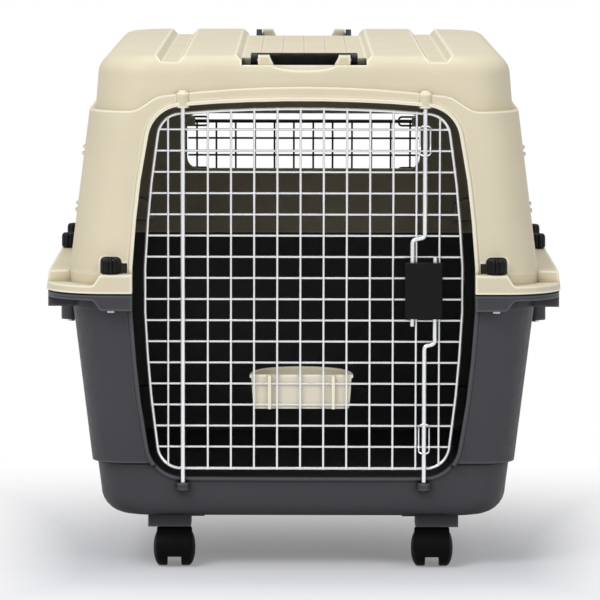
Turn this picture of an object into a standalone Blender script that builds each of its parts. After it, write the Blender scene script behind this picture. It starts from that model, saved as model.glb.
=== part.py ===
"""Two-part moulded pet travel crate with a wire door, in metres, +Z up.

The front with the door looks along -Y and the crate stands on four twin-wheel castors.
The origin is on the floor, under the middle of the crate.
"""
import math

import bmesh
import bpy
from mathutils import Matrix, Vector

# Overall crate, measured over the two flanges that meet at the seam
CRATE_LENGTH = 0.800
CRATE_WIDTH = 0.560
ROOF_Z = 0.560
BASE_BOTTOM_Z = 0.058
SEAM_Z = 0.305
WALL = 0.004
CLEARANCE = 0.0003
CUT = 0.010

# Plan shape of the shells, as insets from the flange edge
SIDE_LEDGE = 0.0251
END_LEDGE = 0.0127
DRAFT_SLOPE = 0.1217
FLANGE_CORNER = 0.066
WALL_CORNER = 0.055
CORNER_STEPS = 3
FILLET_STEPS = 3

# Top shell
LEDGE_Z = SEAM_Z + 0.0210
FLANGE_LEAN = 0.0025
FLANGE_CHAMFER = 0.0015
SADDLE_TOP_Z = SEAM_Z + 0.0085
SHOULDER_Z = ROOF_Z - 0.060
SHOULDER_STEP = 0.0062
UPPER_SLOPE = 0.080
ROOF_FILLET = 0.022
FASCIA_TOP_Z = SHOULDER_Z + 0.0265
FASCIA_FOOT_Z = SHOULDER_Z + 0.017
FASCIA_HALF = CRATE_WIDTH / 2 - 0.128
FASCIA_SWEEP = 0.036

# Base shell
RIM_Z = SEAM_Z - 0.0185
SADDLE_LOW_Z = SEAM_Z - 0.0075
RIM_INSET = 0.0015
BASE_STEP_Z = BASE_BOTTOM_Z + 0.058
BASE_STEP = 0.0055
BASE_RIM_INSET = 0.0036
BASE_SIDE_SLOPE = 0.122
BASE_END_SLOPE = 0.102
BASE_FILLET = 0.028
BASE_END_FILLET = 0.009
BASE_CORNER = 0.038
BASE_FOOT_CORNER = 0.028
RIM_SKIN = 0.003
REBATE_HEIGHT = 0.0016
REBATE_DEPTH = 0.0025

# Door opening with its raised lip
OPENING_HALF = CRATE_WIDTH / 2 - 0.093
OPENING_TOP_Z = SHOULDER_Z + 0.0117
OPENING_BOTTOM_Z = BASE_BOTTOM_Z + 0.0421
OPENING_CORNER = 0.038
OPENING_DROP = 0.0235
OPENING_TOP_SAG = 0.0085
OPENING_BOTTOM_SAG = 0.0020
BULGE_Z = SEAM_Z
LIP_WIDTH = 0.0045
LIP_PROUD = 0.0025
LIP_RETURN = 0.009

# Door: a welded wire grid with a hinge rod and two latch rods in front of it
DOOR_INSET = 0.0375
DOOR_Y = DOOR_INSET - CRATE_LENGTH / 2
DOOR_HALF = OPENING_HALF - 0.0133
DOOR_TOP_Z = OPENING_TOP_Z - 0.0089
DOOR_BOTTOM_Z = OPENING_BOTTOM_Z + 0.0105
DOOR_DROP = 0.0180
DOOR_TOP_SAG = 0.0070
DOOR_CORNER = 0.026
WIRE_RADIUS = 0.00125
FRAME_RADIUS = 0.00175
WELD_DEPTH = 0.0003
ROD_RADIUS = 0.0024
ROD_X = DOOR_HALF - 0.0427
ROD_SIDES = 10
GRID_FOOT = 0.0236
GRID_HEAD = 0.02285
GRID_SIDE = 0.0267
GRID_GAP = 0.0430
GRID_PITCH_Z = 0.02305
GRID_FIRST_Z = DOOR_BOTTOM_Z + GRID_FOOT
GRID_ROWS = 1 + round((DOOR_TOP_Z - GRID_HEAD - GRID_FIRST_Z) / GRID_PITCH_Z)
GRID_PITCH_X = 0.0251
EDGE_WIRE_X = GRID_SIDE - DOOR_HALF
GRID_COLUMNS = 1 + round((-2 * EDGE_WIRE_X - GRID_GAP) / GRID_PITCH_X)
GRID_FIRST_X = -EDGE_WIRE_X - GRID_PITCH_X * (GRID_COLUMNS - 1)

# Sockets for the rod ends, in bosses on both shells
SOCKET_RADIUS = 0.0070
SOCKET_BORE = 0.0028
TOP_SOCKET_LOW_Z = OPENING_TOP_Z - 0.0080
TOP_SOCKET_HIGH_Z = TOP_SOCKET_LOW_Z + 0.0188
BASE_SOCKET_HIGH_Z = OPENING_BOTTOM_Z - 0.0046
BASE_SOCKET_LOW_Z = BASE_SOCKET_HIGH_Z - 0.0110
SOCKET_DOME = 0.0035
SOCKET_DEPTH_TOP = 0.0125
SOCKET_DEPTH_BASE = 0.0080
TIP_CLEARANCE = 0.0008

# Latch on the door
LATCH_LOW = (ROD_X - 0.0213, SEAM_Z - 0.0295)
LATCH_HIGH = (ROD_X + 0.0193, SEAM_Z + 0.0313)
LATCH_DEPTH = 0.0125
LATCH_WALL = 0.0016
LATCH_RIB_Z = SEAM_Z + 0.0015
UPPER_GRIP_X = ROD_X - 0.0133
LOWER_GRIP_X = ROD_X + 0.0113
UPPER_KINK_Z = SEAM_Z + 0.0570
LOWER_KINK_Z = SEAM_Z - 0.0587
KINK_HEIGHT = 0.0026
KINK_EASE = 0.0040
UPPER_GRIP_END_Z = SEAM_Z - 0.0380
LOWER_GRIP_END_Z = SEAM_Z + 0.0380
COLLAR_RADIUS = 0.0040
COLLAR_HEIGHT = 0.0020
COLLAR_OFFSET = 0.0155
SPRING_WIRE = 0.0004
SPRING_RADIUS = 0.0033
SPRING_TURNS = 4
GUIDE_WIRE = 0.0009
GUIDE_HALF = 0.0056
GUIDE_HEIGHT = 0.032
UPPER_GUIDE_Z = DOOR_TOP_Z - 0.0343
LOWER_GUIDE_Z = DOOR_BOTTOM_Z + 0.0335

# Feed bowl hung on the door grid
BOWL_X = -0.0023
BOWL_HALF = 0.0562
BOWL_DEPTH = 0.082
BOWL_WIRE_ROW = 3
BOWL_RIM_Z = GRID_FIRST_Z + GRID_PITCH_Z * BOWL_WIRE_ROW + 0.00965
BOWL_BOTTOM_Z = BOWL_RIM_Z - 0.0372
BOWL_TAPER = 0.0035
BOWL_WALL = 0.0022
BOWL_RIM = 0.0018
HOOK_OFFSET = 0.0346
HOOK_WIDTH = 0.0032
HOOK_THICKNESS = 0.0024

# Carry handles in wells at both ends of the roof
NOTCH_HALF = 0.0677
SCOOP_HALF = 0.034
SCOOP_DEPTH = 0.0036
SCOOP_RISE = 0.0066
NOTCH_SILL_Z = ROOF_Z - 0.0107
TROUGH_Z = ROOF_Z - 0.0060
WELL_FLOOR_Z = ROOF_Z - 0.0320
WELL_START = 0.0511
WELL_END = 0.1180
LINE_PITCH = 0.024
LINE_WIDTH = 0.0012
LINE_DEPTH = 0.0008
POST_INNER = 0.0367
POST_OUTER = 0.0500
POST_FOOT = 0.0330
POST_TOP_Z = ROOF_Z - 0.0005
POST_DEPTH = 0.0190
PIVOT_INSET = 0.0640
PIVOT_Z = ROOF_Z - 0.0068
PIN_RADIUS = 0.0022
PIN_BORE = 0.0026
ARM_THICKNESS = 0.0067
ARM_RADIUS = 0.0062
ARM_LENGTH = 0.0380
GRIP_WAVE = 0.0010
GRIP_DEPTH = 0.0120
GRIP_HALF_HEIGHT = 0.0068
GRIP_CORNER = 0.0035
ARM_GAP = 0.0012
REAR_HANDLE_DROP = math.radians(13)

# Roof grooves
GROOVE_X = CRATE_WIDTH / 2 - 0.135
GROOVE_TOP_HALF = 0.0155
GROOVE_FLOOR_HALF = 0.0095
GROOVE_DEPTH = 0.0075

# Clamp knobs and bolts round the flange
KNOB_RADIUS = 0.01075
KNOB_RIB = 0.0008
KNOB_RIBS = 8
KNOB_HEIGHT = 0.0162
KNOB_BASE_Z = LEDGE_Z + CLEARANCE * 2
KNOB_PAD_RADIUS = 0.0112
END_KNOB_X = CRATE_WIDTH / 2 - 0.072
END_KNOB_INSET = 0.0112
SIDE_KNOB_Y = 0.065
SIDE_KNOB_INSET = 0.0137
POCKET_MARGIN = 0.0006
POCKET_TOP_Z = KNOB_BASE_Z + KNOB_HEIGHT + 0.0008
POCKET_CORNER = 0.0050
RECESS_REACH = 0.0175
RECESS_HEIGHT = 0.0105
BOLT_RADIUS = 0.0030
BOLT_BORE = 0.0034
BOLT_HEAD_RADIUS = 0.0044
BOLT_HEAD_HEIGHT = 0.0022
BOLT_REACH = 0.0115
KNOB_BLOCK_HALF = 0.021
SADDLE_START = END_KNOB_X + 0.009
SADDLE_RAMP = 0.012
SADDLE_BACK = 0.056
RAMP_STEPS = 4
SIDE_BOSS_RADIUS = 0.0115
SIDE_BOSS_LOW_Z = RIM_Z - 0.0425

# Ventilation windows with wire grilles
WINDOW_Z = SHOULDER_Z - 0.0880
REAR_WINDOW_HALF = CRATE_WIDTH / 2 - 0.136
SIDE_WINDOW_HALF = CRATE_LENGTH / 2 - 0.240
WINDOW_HALF_HEIGHT = 0.0430
WINDOW_CORNER = 0.014
GRILLE_FRAME_RADIUS = 0.0018
GRILLE_WIRE_RADIUS = 0.00125
GRILLE_MARGIN = 0.011
GRILLE_STAND_OFF = 0.0030
REAR_GRILLE_ROWS = 4
SIDE_GRILLE_ROWS = 4
REAR_GRILLE_PITCH = 0.024
SIDE_GRILLE_PITCH = 0.030
CLIP_WIDTH = 0.0100
CLIP_HEIGHT = 0.0110

# Castors
CASTOR_X = CRATE_WIDTH / 2 - 0.1390
CASTOR_INSET = 0.0830
TRAIL = 0.0140
WHEEL_RADIUS = 0.0200
WHEEL_OUTER = 0.0230
WHEEL_INNER = 0.0076
WHEEL_TREAD = 0.0155
WHEEL_FACE_RADIUS = 0.0125
AXLE_RADIUS = 0.0025
AXLE_BORE = 0.0028
HOOD_GAP = 0.0007
HOOD_SKIN = 0.0021
HOOD_HALF = 0.0185
HOOD_SWEEP = (-20, 165)
WEB_HALF = 0.0062
STEM_RADIUS = 0.0050
STEM_BORE = 0.0054
BLOCK_OUTER = CASTOR_X + 0.0286
BLOCK_INNER = CASTOR_X - 0.0182
BLOCK_HALF_Y = 0.0210
BLOCK_LOW_Z = BASE_BOTTOM_Z - 0.0146
PLATE_INNER = CASTOR_X - 0.0330
PLATE_THICKNESS = 0.0030
PLATE_HALF_Y = 0.0170

# Finishes: colour, roughness, metallic
CREAM = ((0.73, 0.66, 0.50), 0.45, 0.0)
GREY = ((0.065, 0.065, 0.072), 0.50, 0.0)
BLACK = ((0.015, 0.015, 0.016), 0.40, 0.0)
ZINC = ((0.78, 0.78, 0.78), 0.25, 1.0)
STEEL = ((0.55, 0.55, 0.56), 0.30, 1.0)

HALF_X = CRATE_WIDTH / 2
HALF_Y = CRATE_LENGTH / 2


def clear_scene():
    """Remove every object so that the script starts from an empty scene."""
    for item in list(bpy.data.objects):
        bpy.data.objects.remove(item, do_unlink=True)


def make_collection(name):
    """Return a new collection linked to the scene."""
    collection = bpy.data.collections.new(name)
    bpy.context.scene.collection.children.link(collection)
    return collection


clear_scene()
CRATE = make_collection("pet_travel_crate")
WORK = make_collection("shapes_in_work")


# Basic shapes


def object_from(bm, name="shape"):
    """Turn a bmesh into an object with its faces pointing out."""
    bmesh.ops.recalc_face_normals(bm, faces=bm.faces)
    mesh = bpy.data.meshes.new(name)
    bm.to_mesh(mesh)
    bm.free()
    item = bpy.data.objects.new(name, mesh)
    WORK.objects.link(item)
    return item


def box(low, high):
    """Make a box between two corners."""
    bm = bmesh.new()
    bmesh.ops.create_cube(bm, size=1.0)
    low, high = Vector(low), Vector(high)
    size = high - low
    bmesh.ops.scale(bm, vec=size, verts=bm.verts)
    bmesh.ops.translate(bm, vec=(low + high) / 2, verts=bm.verts)
    return object_from(bm)


def cylinder(start, end, radius, sides=16, end_radius=None):
    """Make a cylinder, or a cone frustum, between two points."""
    start, end = Vector(start), Vector(end)
    run = end - start
    bm = bmesh.new()
    top_radius = radius if end_radius is None else end_radius
    bmesh.ops.create_cone(bm, cap_ends=True, segments=sides, radius1=radius,
                          radius2=top_radius, depth=run.length)
    turn = run.to_track_quat("Z", "Y").to_matrix()
    bmesh.ops.rotate(bm, cent=(0, 0, 0), matrix=turn, verts=bm.verts)
    bmesh.ops.translate(bm, vec=(start + end) / 2, verts=bm.verts)
    return object_from(bm)


def prism(outline, plane, low, high):
    """Extrude a flat outline, drawn in the XZ, YZ or XY plane, from low to high."""
    place = {
        "XZ": lambda a, b: Vector((a, low, b)),
        "YZ": lambda a, b: Vector((low, a, b)),
        "XY": lambda a, b: Vector((a, b, low)),
    }[plane]
    along = {"XZ": Vector((0, 1, 0)), "YZ": Vector((1, 0, 0)), "XY": Vector((0, 0, 1))}[plane]
    bm = bmesh.new()
    face = bm.faces.new([bm.verts.new(place(a, b)) for a, b in outline])
    grown = bmesh.ops.extrude_face_region(bm, geom=[face])
    moved = [part for part in grown["geom"] if isinstance(part, bmesh.types.BMVert)]
    bmesh.ops.translate(bm, vec=along * (high - low), verts=moved)
    return object_from(bm)


def loft(rings, closed=False):
    """Skin rings that have equal point counts; cap both ends, or join the last to the first."""
    bm = bmesh.new()
    rows = [[bm.verts.new(point) for point in ring] for ring in rings]
    pairs = list(zip(rows, rows[1:]))
    if closed:
        pairs.append((rows[-1], rows[0]))
    for lower, upper in pairs:
        for index, vert in enumerate(lower):
            following = (index + 1) % len(lower)
            bm.faces.new((vert, lower[following], upper[following], upper[index]))
    if not closed:
        bm.faces.new(rows[0])
        bm.faces.new(rows[-1])
    return object_from(bm)


def tube(points, radius, resolution=0, cyclic=False):
    """Make a round wire along points as a welded mesh."""
    curve = bpy.data.curves.new("wire", "CURVE")
    curve.dimensions = "3D"
    curve.bevel_depth = radius
    curve.bevel_resolution = resolution
    curve.use_fill_caps = not cyclic
    spline = curve.splines.new("POLY")
    spline.points.add(len(points) - 1)
    for target, point in zip(spline.points, points):
        target.co = (*point, 1.0)
    spline.use_cyclic_u = cyclic
    item = bpy.data.objects.new("wire", curve)
    WORK.objects.link(item)
    bpy.context.view_layer.update()
    mesh = bpy.data.meshes.new_from_object(item.evaluated_get(bpy.context.evaluated_depsgraph_get()))
    bpy.data.objects.remove(item)
    bm = bmesh.new()
    bm.from_mesh(mesh)
    bmesh.ops.remove_doubles(bm, verts=bm.verts, dist=0.00001)
    return object_from(bm)


def turned(profile, centre, axis_turn, sides=20):
    """Turn a profile of (radius, height) points about local Z, then lay it on its axis."""
    bm = bmesh.new()
    verts = [bm.verts.new((radius, 0, height)) for radius, height in profile]
    edges = [bm.edges.new(pair) for pair in zip(verts, verts[1:])]
    bmesh.ops.spin(bm, geom=verts + edges, axis=(0, 0, 1), cent=(0, 0, 0),
                   angle=2 * math.pi, steps=sides, use_merge=True)
    bmesh.ops.remove_doubles(bm, verts=bm.verts, dist=0.00001)
    bmesh.ops.transform(bm, matrix=Matrix.Translation(centre) @ axis_turn, verts=bm.verts)
    return object_from(bm)


def merged(items):
    """Put shapes that stay apart into one object, ready for one Boolean."""
    bm = bmesh.new()
    for item in items:
        bm.from_mesh(item.data)
        bpy.data.objects.remove(item)
    return object_from(bm)


def moved_by(item, matrix):
    """Move a shape's mesh by a matrix."""
    bm = bmesh.new()
    bm.from_mesh(item.data)
    bmesh.ops.transform(bm, matrix=matrix, verts=bm.verts)
    bpy.data.objects.remove(item)
    return object_from(bm)


# Joining and cutting


def combine(target, tool, operation):
    """Join, cut or intersect target with tool, and remove the tool."""
    modifier = target.modifiers.new(operation.lower(), "BOOLEAN")
    modifier.operation = operation
    modifier.solver = "EXACT"
    modifier.object = tool
    bpy.context.view_layer.update()
    graph = bpy.context.evaluated_depsgraph_get()
    mesh = bpy.data.meshes.new_from_object(target.evaluated_get(graph))
    target.modifiers.clear()
    target.data = mesh
    bpy.data.objects.remove(tool)
    return target


def cut(target, tool):
    return combine(target, tool, "DIFFERENCE")


def join(target, tool):
    return combine(target, tool, "UNION")


def intersect(target, tool):
    return combine(target, tool, "INTERSECT")


def place_part(item, name, finish, origin=(0, 0, 0), smooth=True):
    """Name a finished piece, give it its material and put its origin where it turns."""
    colour, roughness, metallic = finish
    material = bpy.data.materials.new(name)
    material.use_nodes = True
    shader = material.node_tree.nodes["Principled BSDF"]
    shader.inputs["Base Color"].default_value = (*colour, 1.0)
    shader.inputs["Roughness"].default_value = roughness
    shader.inputs["Metallic"].default_value = metallic
    mesh = item.data
    mesh.materials.clear()
    mesh.materials.append(material)
    mesh.transform(Matrix.Translation(-Vector(origin)))
    item.location = origin
    if smooth:
        mesh.shade_smooth()
        mesh.set_sharp_from_angle(angle=math.radians(35))
    item.name = name
    mesh.name = name
    WORK.objects.unlink(item)
    CRATE.objects.link(item)
    return item


# Outlines


def arc(centre_a, centre_b, radius, start, end, steps):
    """Points on an arc, with angles in degrees."""
    points = []
    for step in range(steps + 1):
        angle = math.radians(start + (end - start) * step / steps)
        points.append((centre_a + radius * math.cos(angle), centre_b + radius * math.sin(angle)))
    return points


def rounded_rectangle(half_a, half_b, radius, steps, centre=(0, 0)):
    """Anticlockwise outline of a rectangle with round corners."""
    outline = []
    for quarter, (side_a, side_b) in enumerate(((1, 1), (-1, 1), (-1, -1), (1, -1))):
        outline += arc(centre[0] + side_a * (half_a - radius), centre[1] + side_b * (half_b - radius),
                       radius, 90 * quarter, 90 * quarter + 90, steps)
    return outline


def round_corners(points, radii, steps):
    """Replace each corner that has a radius by an arc that is tangent to both its edges."""
    outline = []
    count = len(points)
    for index, (point, radius) in enumerate(zip(points, radii)):
        corner = Vector(point)
        if not radius:
            outline.append(tuple(corner))
            continue
        back = (Vector(points[index - 1]) - corner).normalized()
        ahead = (Vector(points[(index + 1) % count]) - corner).normalized()
        half = back.angle(ahead) / 2
        reach = radius / math.tan(half)
        centre = corner + (back + ahead).normalized() * radius / math.sin(half)
        first = corner + back * reach - centre
        last = corner + ahead * reach - centre
        sweep = first.angle_signed(last)
        for step in range(steps + 1):
            turn = Matrix.Rotation(-sweep * step / steps, 2)
            outline.append(tuple(centre + turn @ first))
    return outline


def door_shape(half, drop, top_z, bottom_z, top_sag, bottom_sag, corner, steps):
    """Outline of the doorway or the door in XZ: widest at the seam, with a slightly arched top."""
    sides = 4
    crown = 4
    heights = [bottom_z + (top_z - bottom_z) * step / sides for step in range(sides + 1)]
    reach = (top_z - bottom_z) / 2

    def half_at(z):
        return half - drop * (abs(z - BULGE_Z) / reach) ** 1.6

    points = []
    radii = []
    for step in range(sides + 1):
        end = step in (0, sides)
        sag = {0: -bottom_sag, sides: -top_sag}.get(step, 0.0)
        points.append((half_at(heights[step]), heights[step] + sag))
        radii.append(corner if end else 0.0)
    top_half = half_at(top_z)
    for step in range(1, crown):
        x = top_half * (1 - 2 * step / crown)
        points.append((x, top_z - top_sag * (x / top_half) ** 2))
        radii.append(0.0)
    for step in range(sides, -1, -1):
        end = step in (0, sides)
        sag = {0: -bottom_sag, sides: -top_sag}.get(step, 0.0)
        points.append((-half_at(heights[step]), heights[step] + sag))
        radii.append(corner if end else 0.0)
    bottom_half = half_at(bottom_z)
    for step in range(1, crown):
        x = bottom_half * (2 * step / crown - 1)
        points.append((x, bottom_z - bottom_sag * (x / bottom_half) ** 2))
        radii.append(0.0)
    return round_corners(points, radii, steps)


def opening_shape(steps=3):
    return door_shape(OPENING_HALF, OPENING_DROP, OPENING_TOP_Z, OPENING_BOTTOM_Z,
                      OPENING_TOP_SAG, OPENING_BOTTOM_SAG, OPENING_CORNER, steps)


def frame_shape(steps=3):
    return door_shape(DOOR_HALF, DOOR_DROP, DOOR_TOP_Z, DOOR_BOTTOM_Z,
                      DOOR_TOP_SAG, 0.0, DOOR_CORNER, steps)


def crossings(outline, fixed, axis):
    """Where a straight line at a fixed X (axis 0) or Z (axis 1) crosses an outline."""
    found = []
    for first, last in zip(outline, outline[1:] + outline[:1]):
        if (first[axis] - fixed) * (last[axis] - fixed) < 0:
            share = (fixed - first[axis]) / (last[axis] - first[axis])
            found.append(first[1 - axis] + share * (last[1 - axis] - first[1 - axis]))
    return min(found), max(found)


# Shells


def shell_ring(side_inset, end_inset, corner, z):
    """One level of a shell in plan."""
    outline = rounded_rectangle(HALF_X - side_inset, HALF_Y - end_inset, corner, CORNER_STEPS)
    return [(x, y, z) for x, y in outline]


def shell_body(levels):
    return loft([shell_ring(*level) for level in levels])


def fillet_levels(side, end, corner, z, radius, upward):
    """Levels that turn a wall at height z into a flat face, inwards."""
    levels = []
    for step in range(FILLET_STEPS + 1):
        angle = math.radians(90 * step / FILLET_STEPS)
        inward = radius * (1 - math.cos(angle))
        rise = radius * math.sin(angle)
        levels.append((side + inward, end + inward, corner, z + upward * rise))
    return levels


def top_wall_inset(ledge, z):
    return ledge + DRAFT_SLOPE * (z - LEDGE_Z)


def base_wall_inset(ledge, slope, z):
    """Inset of the base's outer wall, with the step near its foot."""
    step = BASE_STEP if z < BASE_STEP_Z else 0.0
    return ledge + BASE_RIM_INSET + slope * (RIM_Z - z) + step


def front_wall_inset(z):
    """Inset of the front wall at a height, on whichever shell is there."""
    if z >= SEAM_Z:
        return top_wall_inset(END_LEDGE, max(z, LEDGE_Z))
    return base_wall_inset(END_LEDGE, BASE_END_SLOPE, min(z, RIM_Z))


def fascia_outline():
    """Front view of the wide lower part of the top shell, up to its shoulder."""
    half = []
    sweep_steps = 5
    for step in range(sweep_steps + 1):
        share = step / sweep_steps
        smooth = share * share * (3 - 2 * share)
        x = FASCIA_HALF + FASCIA_SWEEP * (1 - share)
        half.append((x, SHOULDER_Z + (FASCIA_FOOT_Z - SHOULDER_Z) * smooth))
    arch_steps = 4
    for step in range(1, arch_steps + 1):
        x = FASCIA_HALF * (1 - step / arch_steps)
        half.append((x, FASCIA_TOP_Z - (FASCIA_TOP_Z - FASCIA_FOOT_Z) * (x / FASCIA_HALF) ** 2))
    mirror = [(-x, z) for x, z in reversed(half[:-1])]
    low_z = SEAM_Z - CUT
    return ([(-HALF_X - CUT, low_z), (HALF_X + CUT, low_z), (HALF_X + CUT, SHOULDER_Z)]
            + half + mirror + [(-HALF_X - CUT, SHOULDER_Z)])


def top_outer_body():
    """Solid outside of the top shell."""
    seam = SEAM_Z + CLEARANCE / 2
    head_z = FASCIA_TOP_Z + CUT
    lower = shell_body([
        (0, 0, FLANGE_CORNER, seam),
        (FLANGE_LEAN, 0, FLANGE_CORNER, LEDGE_Z - FLANGE_CHAMFER),
        (FLANGE_LEAN + FLANGE_CHAMFER, FLANGE_CHAMFER, FLANGE_CORNER, LEDGE_Z - FLANGE_CHAMFER / 4),
        (SIDE_LEDGE, END_LEDGE, WALL_CORNER, LEDGE_Z),
        (top_wall_inset(SIDE_LEDGE, head_z), top_wall_inset(END_LEDGE, head_z), WALL_CORNER, head_z),
    ])
    intersect(lower, prism(fascia_outline(), "XZ", -HALF_Y - CUT, HALF_Y + CUT))
    side = top_wall_inset(SIDE_LEDGE, SHOULDER_Z) + SHOULDER_STEP
    end = top_wall_inset(END_LEDGE, SHOULDER_Z) + SHOULDER_STEP
    eaves = ROOF_Z - ROOF_FILLET
    lean = UPPER_SLOPE * (eaves - SHOULDER_Z)
    upper = shell_body([(side - UPPER_SLOPE * CUT, end - UPPER_SLOPE * CUT, WALL_CORNER, SHOULDER_Z - CUT)]
                       + fillet_levels(side + lean, end + lean, WALL_CORNER, eaves, ROOF_FILLET, 1))
    return join(lower, upper)


def top_cavity():
    """Inside of the top shell, one wall thickness in."""
    low_z = SEAM_Z - CUT
    neck_z = SHOULDER_Z - WALL - SHOULDER_STEP
    side = top_wall_inset(SIDE_LEDGE, SHOULDER_Z) + SHOULDER_STEP + WALL
    end = top_wall_inset(END_LEDGE, SHOULDER_Z) + SHOULDER_STEP + WALL
    radius = ROOF_FILLET - WALL
    eaves = ROOF_Z - ROOF_FILLET
    lean = UPPER_SLOPE * (eaves - SHOULDER_Z)
    levels = [
        (SIDE_LEDGE + WALL, END_LEDGE + WALL, WALL_CORNER - WALL, low_z),
        (SIDE_LEDGE + WALL, END_LEDGE + WALL, WALL_CORNER - WALL, LEDGE_Z),
        (top_wall_inset(SIDE_LEDGE, neck_z) + WALL, top_wall_inset(END_LEDGE, neck_z) + WALL,
         WALL_CORNER - WALL, neck_z),
        (side, end, WALL_CORNER - WALL, SHOULDER_Z - WALL),
    ]
    levels += fillet_levels(side + lean, end + lean, WALL_CORNER - WALL, eaves, radius, 1)
    return shell_body(levels)


def groove_block(centre_x, wall):
    """A roof groove along the crate, or the wall round it."""
    floor_z = ROOF_Z - GROOVE_DEPTH - wall
    flare = (GROOVE_TOP_HALF - GROOVE_FLOOR_HALF) / GROOVE_DEPTH
    head_z = ROOF_Z + CUT
    floor_half = GROOVE_FLOOR_HALF + wall
    head_half = floor_half + flare * (head_z - floor_z)
    outline = [(centre_x - floor_half, floor_z), (centre_x + floor_half, floor_z),
               (centre_x + head_half, head_z), (centre_x - head_half, head_z)]
    return prism(outline, "XZ", -HALF_Y - CUT, HALF_Y + CUT)


def trough_block(wall):
    """The shallow trough between the two handle wells, or the wall round it."""
    half = NOTCH_HALF + wall
    return box((-half, -HALF_Y - CUT, TROUGH_Z - wall), (half, HALF_Y + CUT, ROOF_Z + CUT))


def well_block(end, wall):
    """One handle well, at the front (-1) or rear (+1), or the wall round it."""
    half = NOTCH_HALF + wall
    near = end * (HALF_Y - WELL_START + wall)
    far = end * (HALF_Y - WELL_END - wall)
    return box((-half, min(near, far), WELL_FLOOR_Z - wall), (half, max(near, far), ROOF_Z + CUT))


def notch_block(end):
    """The notch that opens a handle well through the end wall."""
    near = end * (HALF_Y + CUT)
    far = end * (HALF_Y - WELL_START - WALL)
    return box((-NOTCH_HALF, min(near, far), NOTCH_SILL_Z), (NOTCH_HALF, max(near, far), ROOF_Z + CUT))


def finger_scoop(segments):
    """Shallow crescent under the front notch."""
    bm = bmesh.new()
    bmesh.ops.create_uvsphere(bm, u_segments=segments, v_segments=segments // 2, radius=1.0)
    bmesh.ops.scale(bm, vec=(SCOOP_HALF, SCOOP_DEPTH, SCOOP_RISE), verts=bm.verts)
    rise = NOTCH_SILL_Z - (ROOF_Z - ROOF_FILLET)
    wall_inset = top_wall_inset(END_LEDGE, SHOULDER_Z) + SHOULDER_STEP + UPPER_SLOPE * (ROOF_Z - ROOF_FILLET - SHOULDER_Z)
    curve_inset = ROOF_FILLET - math.sqrt(ROOF_FILLET ** 2 - rise ** 2)
    bmesh.ops.translate(bm, vec=(0, wall_inset + curve_inset - HALF_Y, NOTCH_SILL_Z), verts=bm.verts)
    return object_from(bm)


def knob_places():
    """Name and plan position of each clamp knob."""
    places = []
    end_y = HALF_Y - END_KNOB_INSET
    side_x = HALF_X - SIDE_KNOB_INSET
    for side, side_sign in (("left", -1), ("right", 1)):
        places.append((f"front_{side}", side_sign * END_KNOB_X, -end_y))
        places.append((f"rear_{side}", side_sign * END_KNOB_X, end_y))
        places.append((f"{side}_front", side_sign * side_x, -SIDE_KNOB_Y))
        places.append((f"{side}_rear", side_sign * side_x, SIDE_KNOB_Y))
    return places


def is_end_place(name):
    return name.startswith(("front", "rear"))


def pocket_block(x, y, wall):
    """Pocket in an end wall for a knob, with a lower recess toward the middle, or the wall round both."""
    side = math.copysign(1, x)
    middle = abs(x)
    half = KNOB_RADIUS + POCKET_MARGIN + wall
    top_z = POCKET_TOP_Z + wall
    low_z = KNOB_BASE_Z - CLEARANCE - wall
    recess_z = KNOB_BASE_Z + RECESS_HEIGHT + wall
    corner = POCKET_CORNER + wall
    outline = [(middle - RECESS_REACH - wall, low_z), (middle + half, low_z)]
    outline += arc(middle + half - corner, top_z - corner, corner, 0, 90, 3)
    outline += arc(middle - half + corner, top_z - corner, corner, 90, 180, 3)
    outline += [(middle - half, recess_z), (middle - RECESS_REACH - wall, recess_z)]
    outward = math.copysign(1, y)
    near = outward * (HALF_Y + CUT)
    far = y - outward * (KNOB_RADIUS + POCKET_MARGIN + wall)
    return prism([(side * a, b) for a, b in outline], "XZ", min(near, far), max(near, far))


def saddle_block(side, end, edge_z, level_z, skin=0):
    """Room beside an end knob, where the flange drops from its full depth to a thinner band."""
    away = math.copysign(1, edge_z - level_z)
    outline = []
    for step in range(RAMP_STEPS + 1):
        share = step / RAMP_STEPS
        fall = (1 - math.cos(math.pi * share)) / 2
        outline.append((SADDLE_START - skin + SADDLE_RAMP * share, edge_z + (level_z - edge_z) * fall - away * skin))
    outline += [(HALF_X + CUT, level_z - away * skin), (HALF_X + CUT, edge_z + away * CUT),
                (SADDLE_START - skin, edge_z + away * CUT)]
    near = end * (HALF_Y + CUT)
    far = end * (HALF_Y - SADDLE_BACK - skin)
    return prism([(side * x, z) for x, z in outline], "XZ", min(near, far), max(near, far))


def saddles(edge_z, level_z, wall_inset=0, skin=0):
    """The four saddles of one flange; without a skin they stop at the wall behind."""
    blocks = merged([saddle_block(side, end, edge_z, level_z, skin) for side in (-1, 1) for end in (-1, 1)])
    if skin:
        return blocks
    wall = (SIDE_LEDGE + wall_inset - CLEARANCE, END_LEDGE + wall_inset - CLEARANCE, WALL_CORNER)
    low_z, high_z = sorted((edge_z, level_z))
    return cut(blocks, shell_body([(*wall, low_z - 2 * CUT), (*wall, high_z + 2 * CUT)]))


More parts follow.
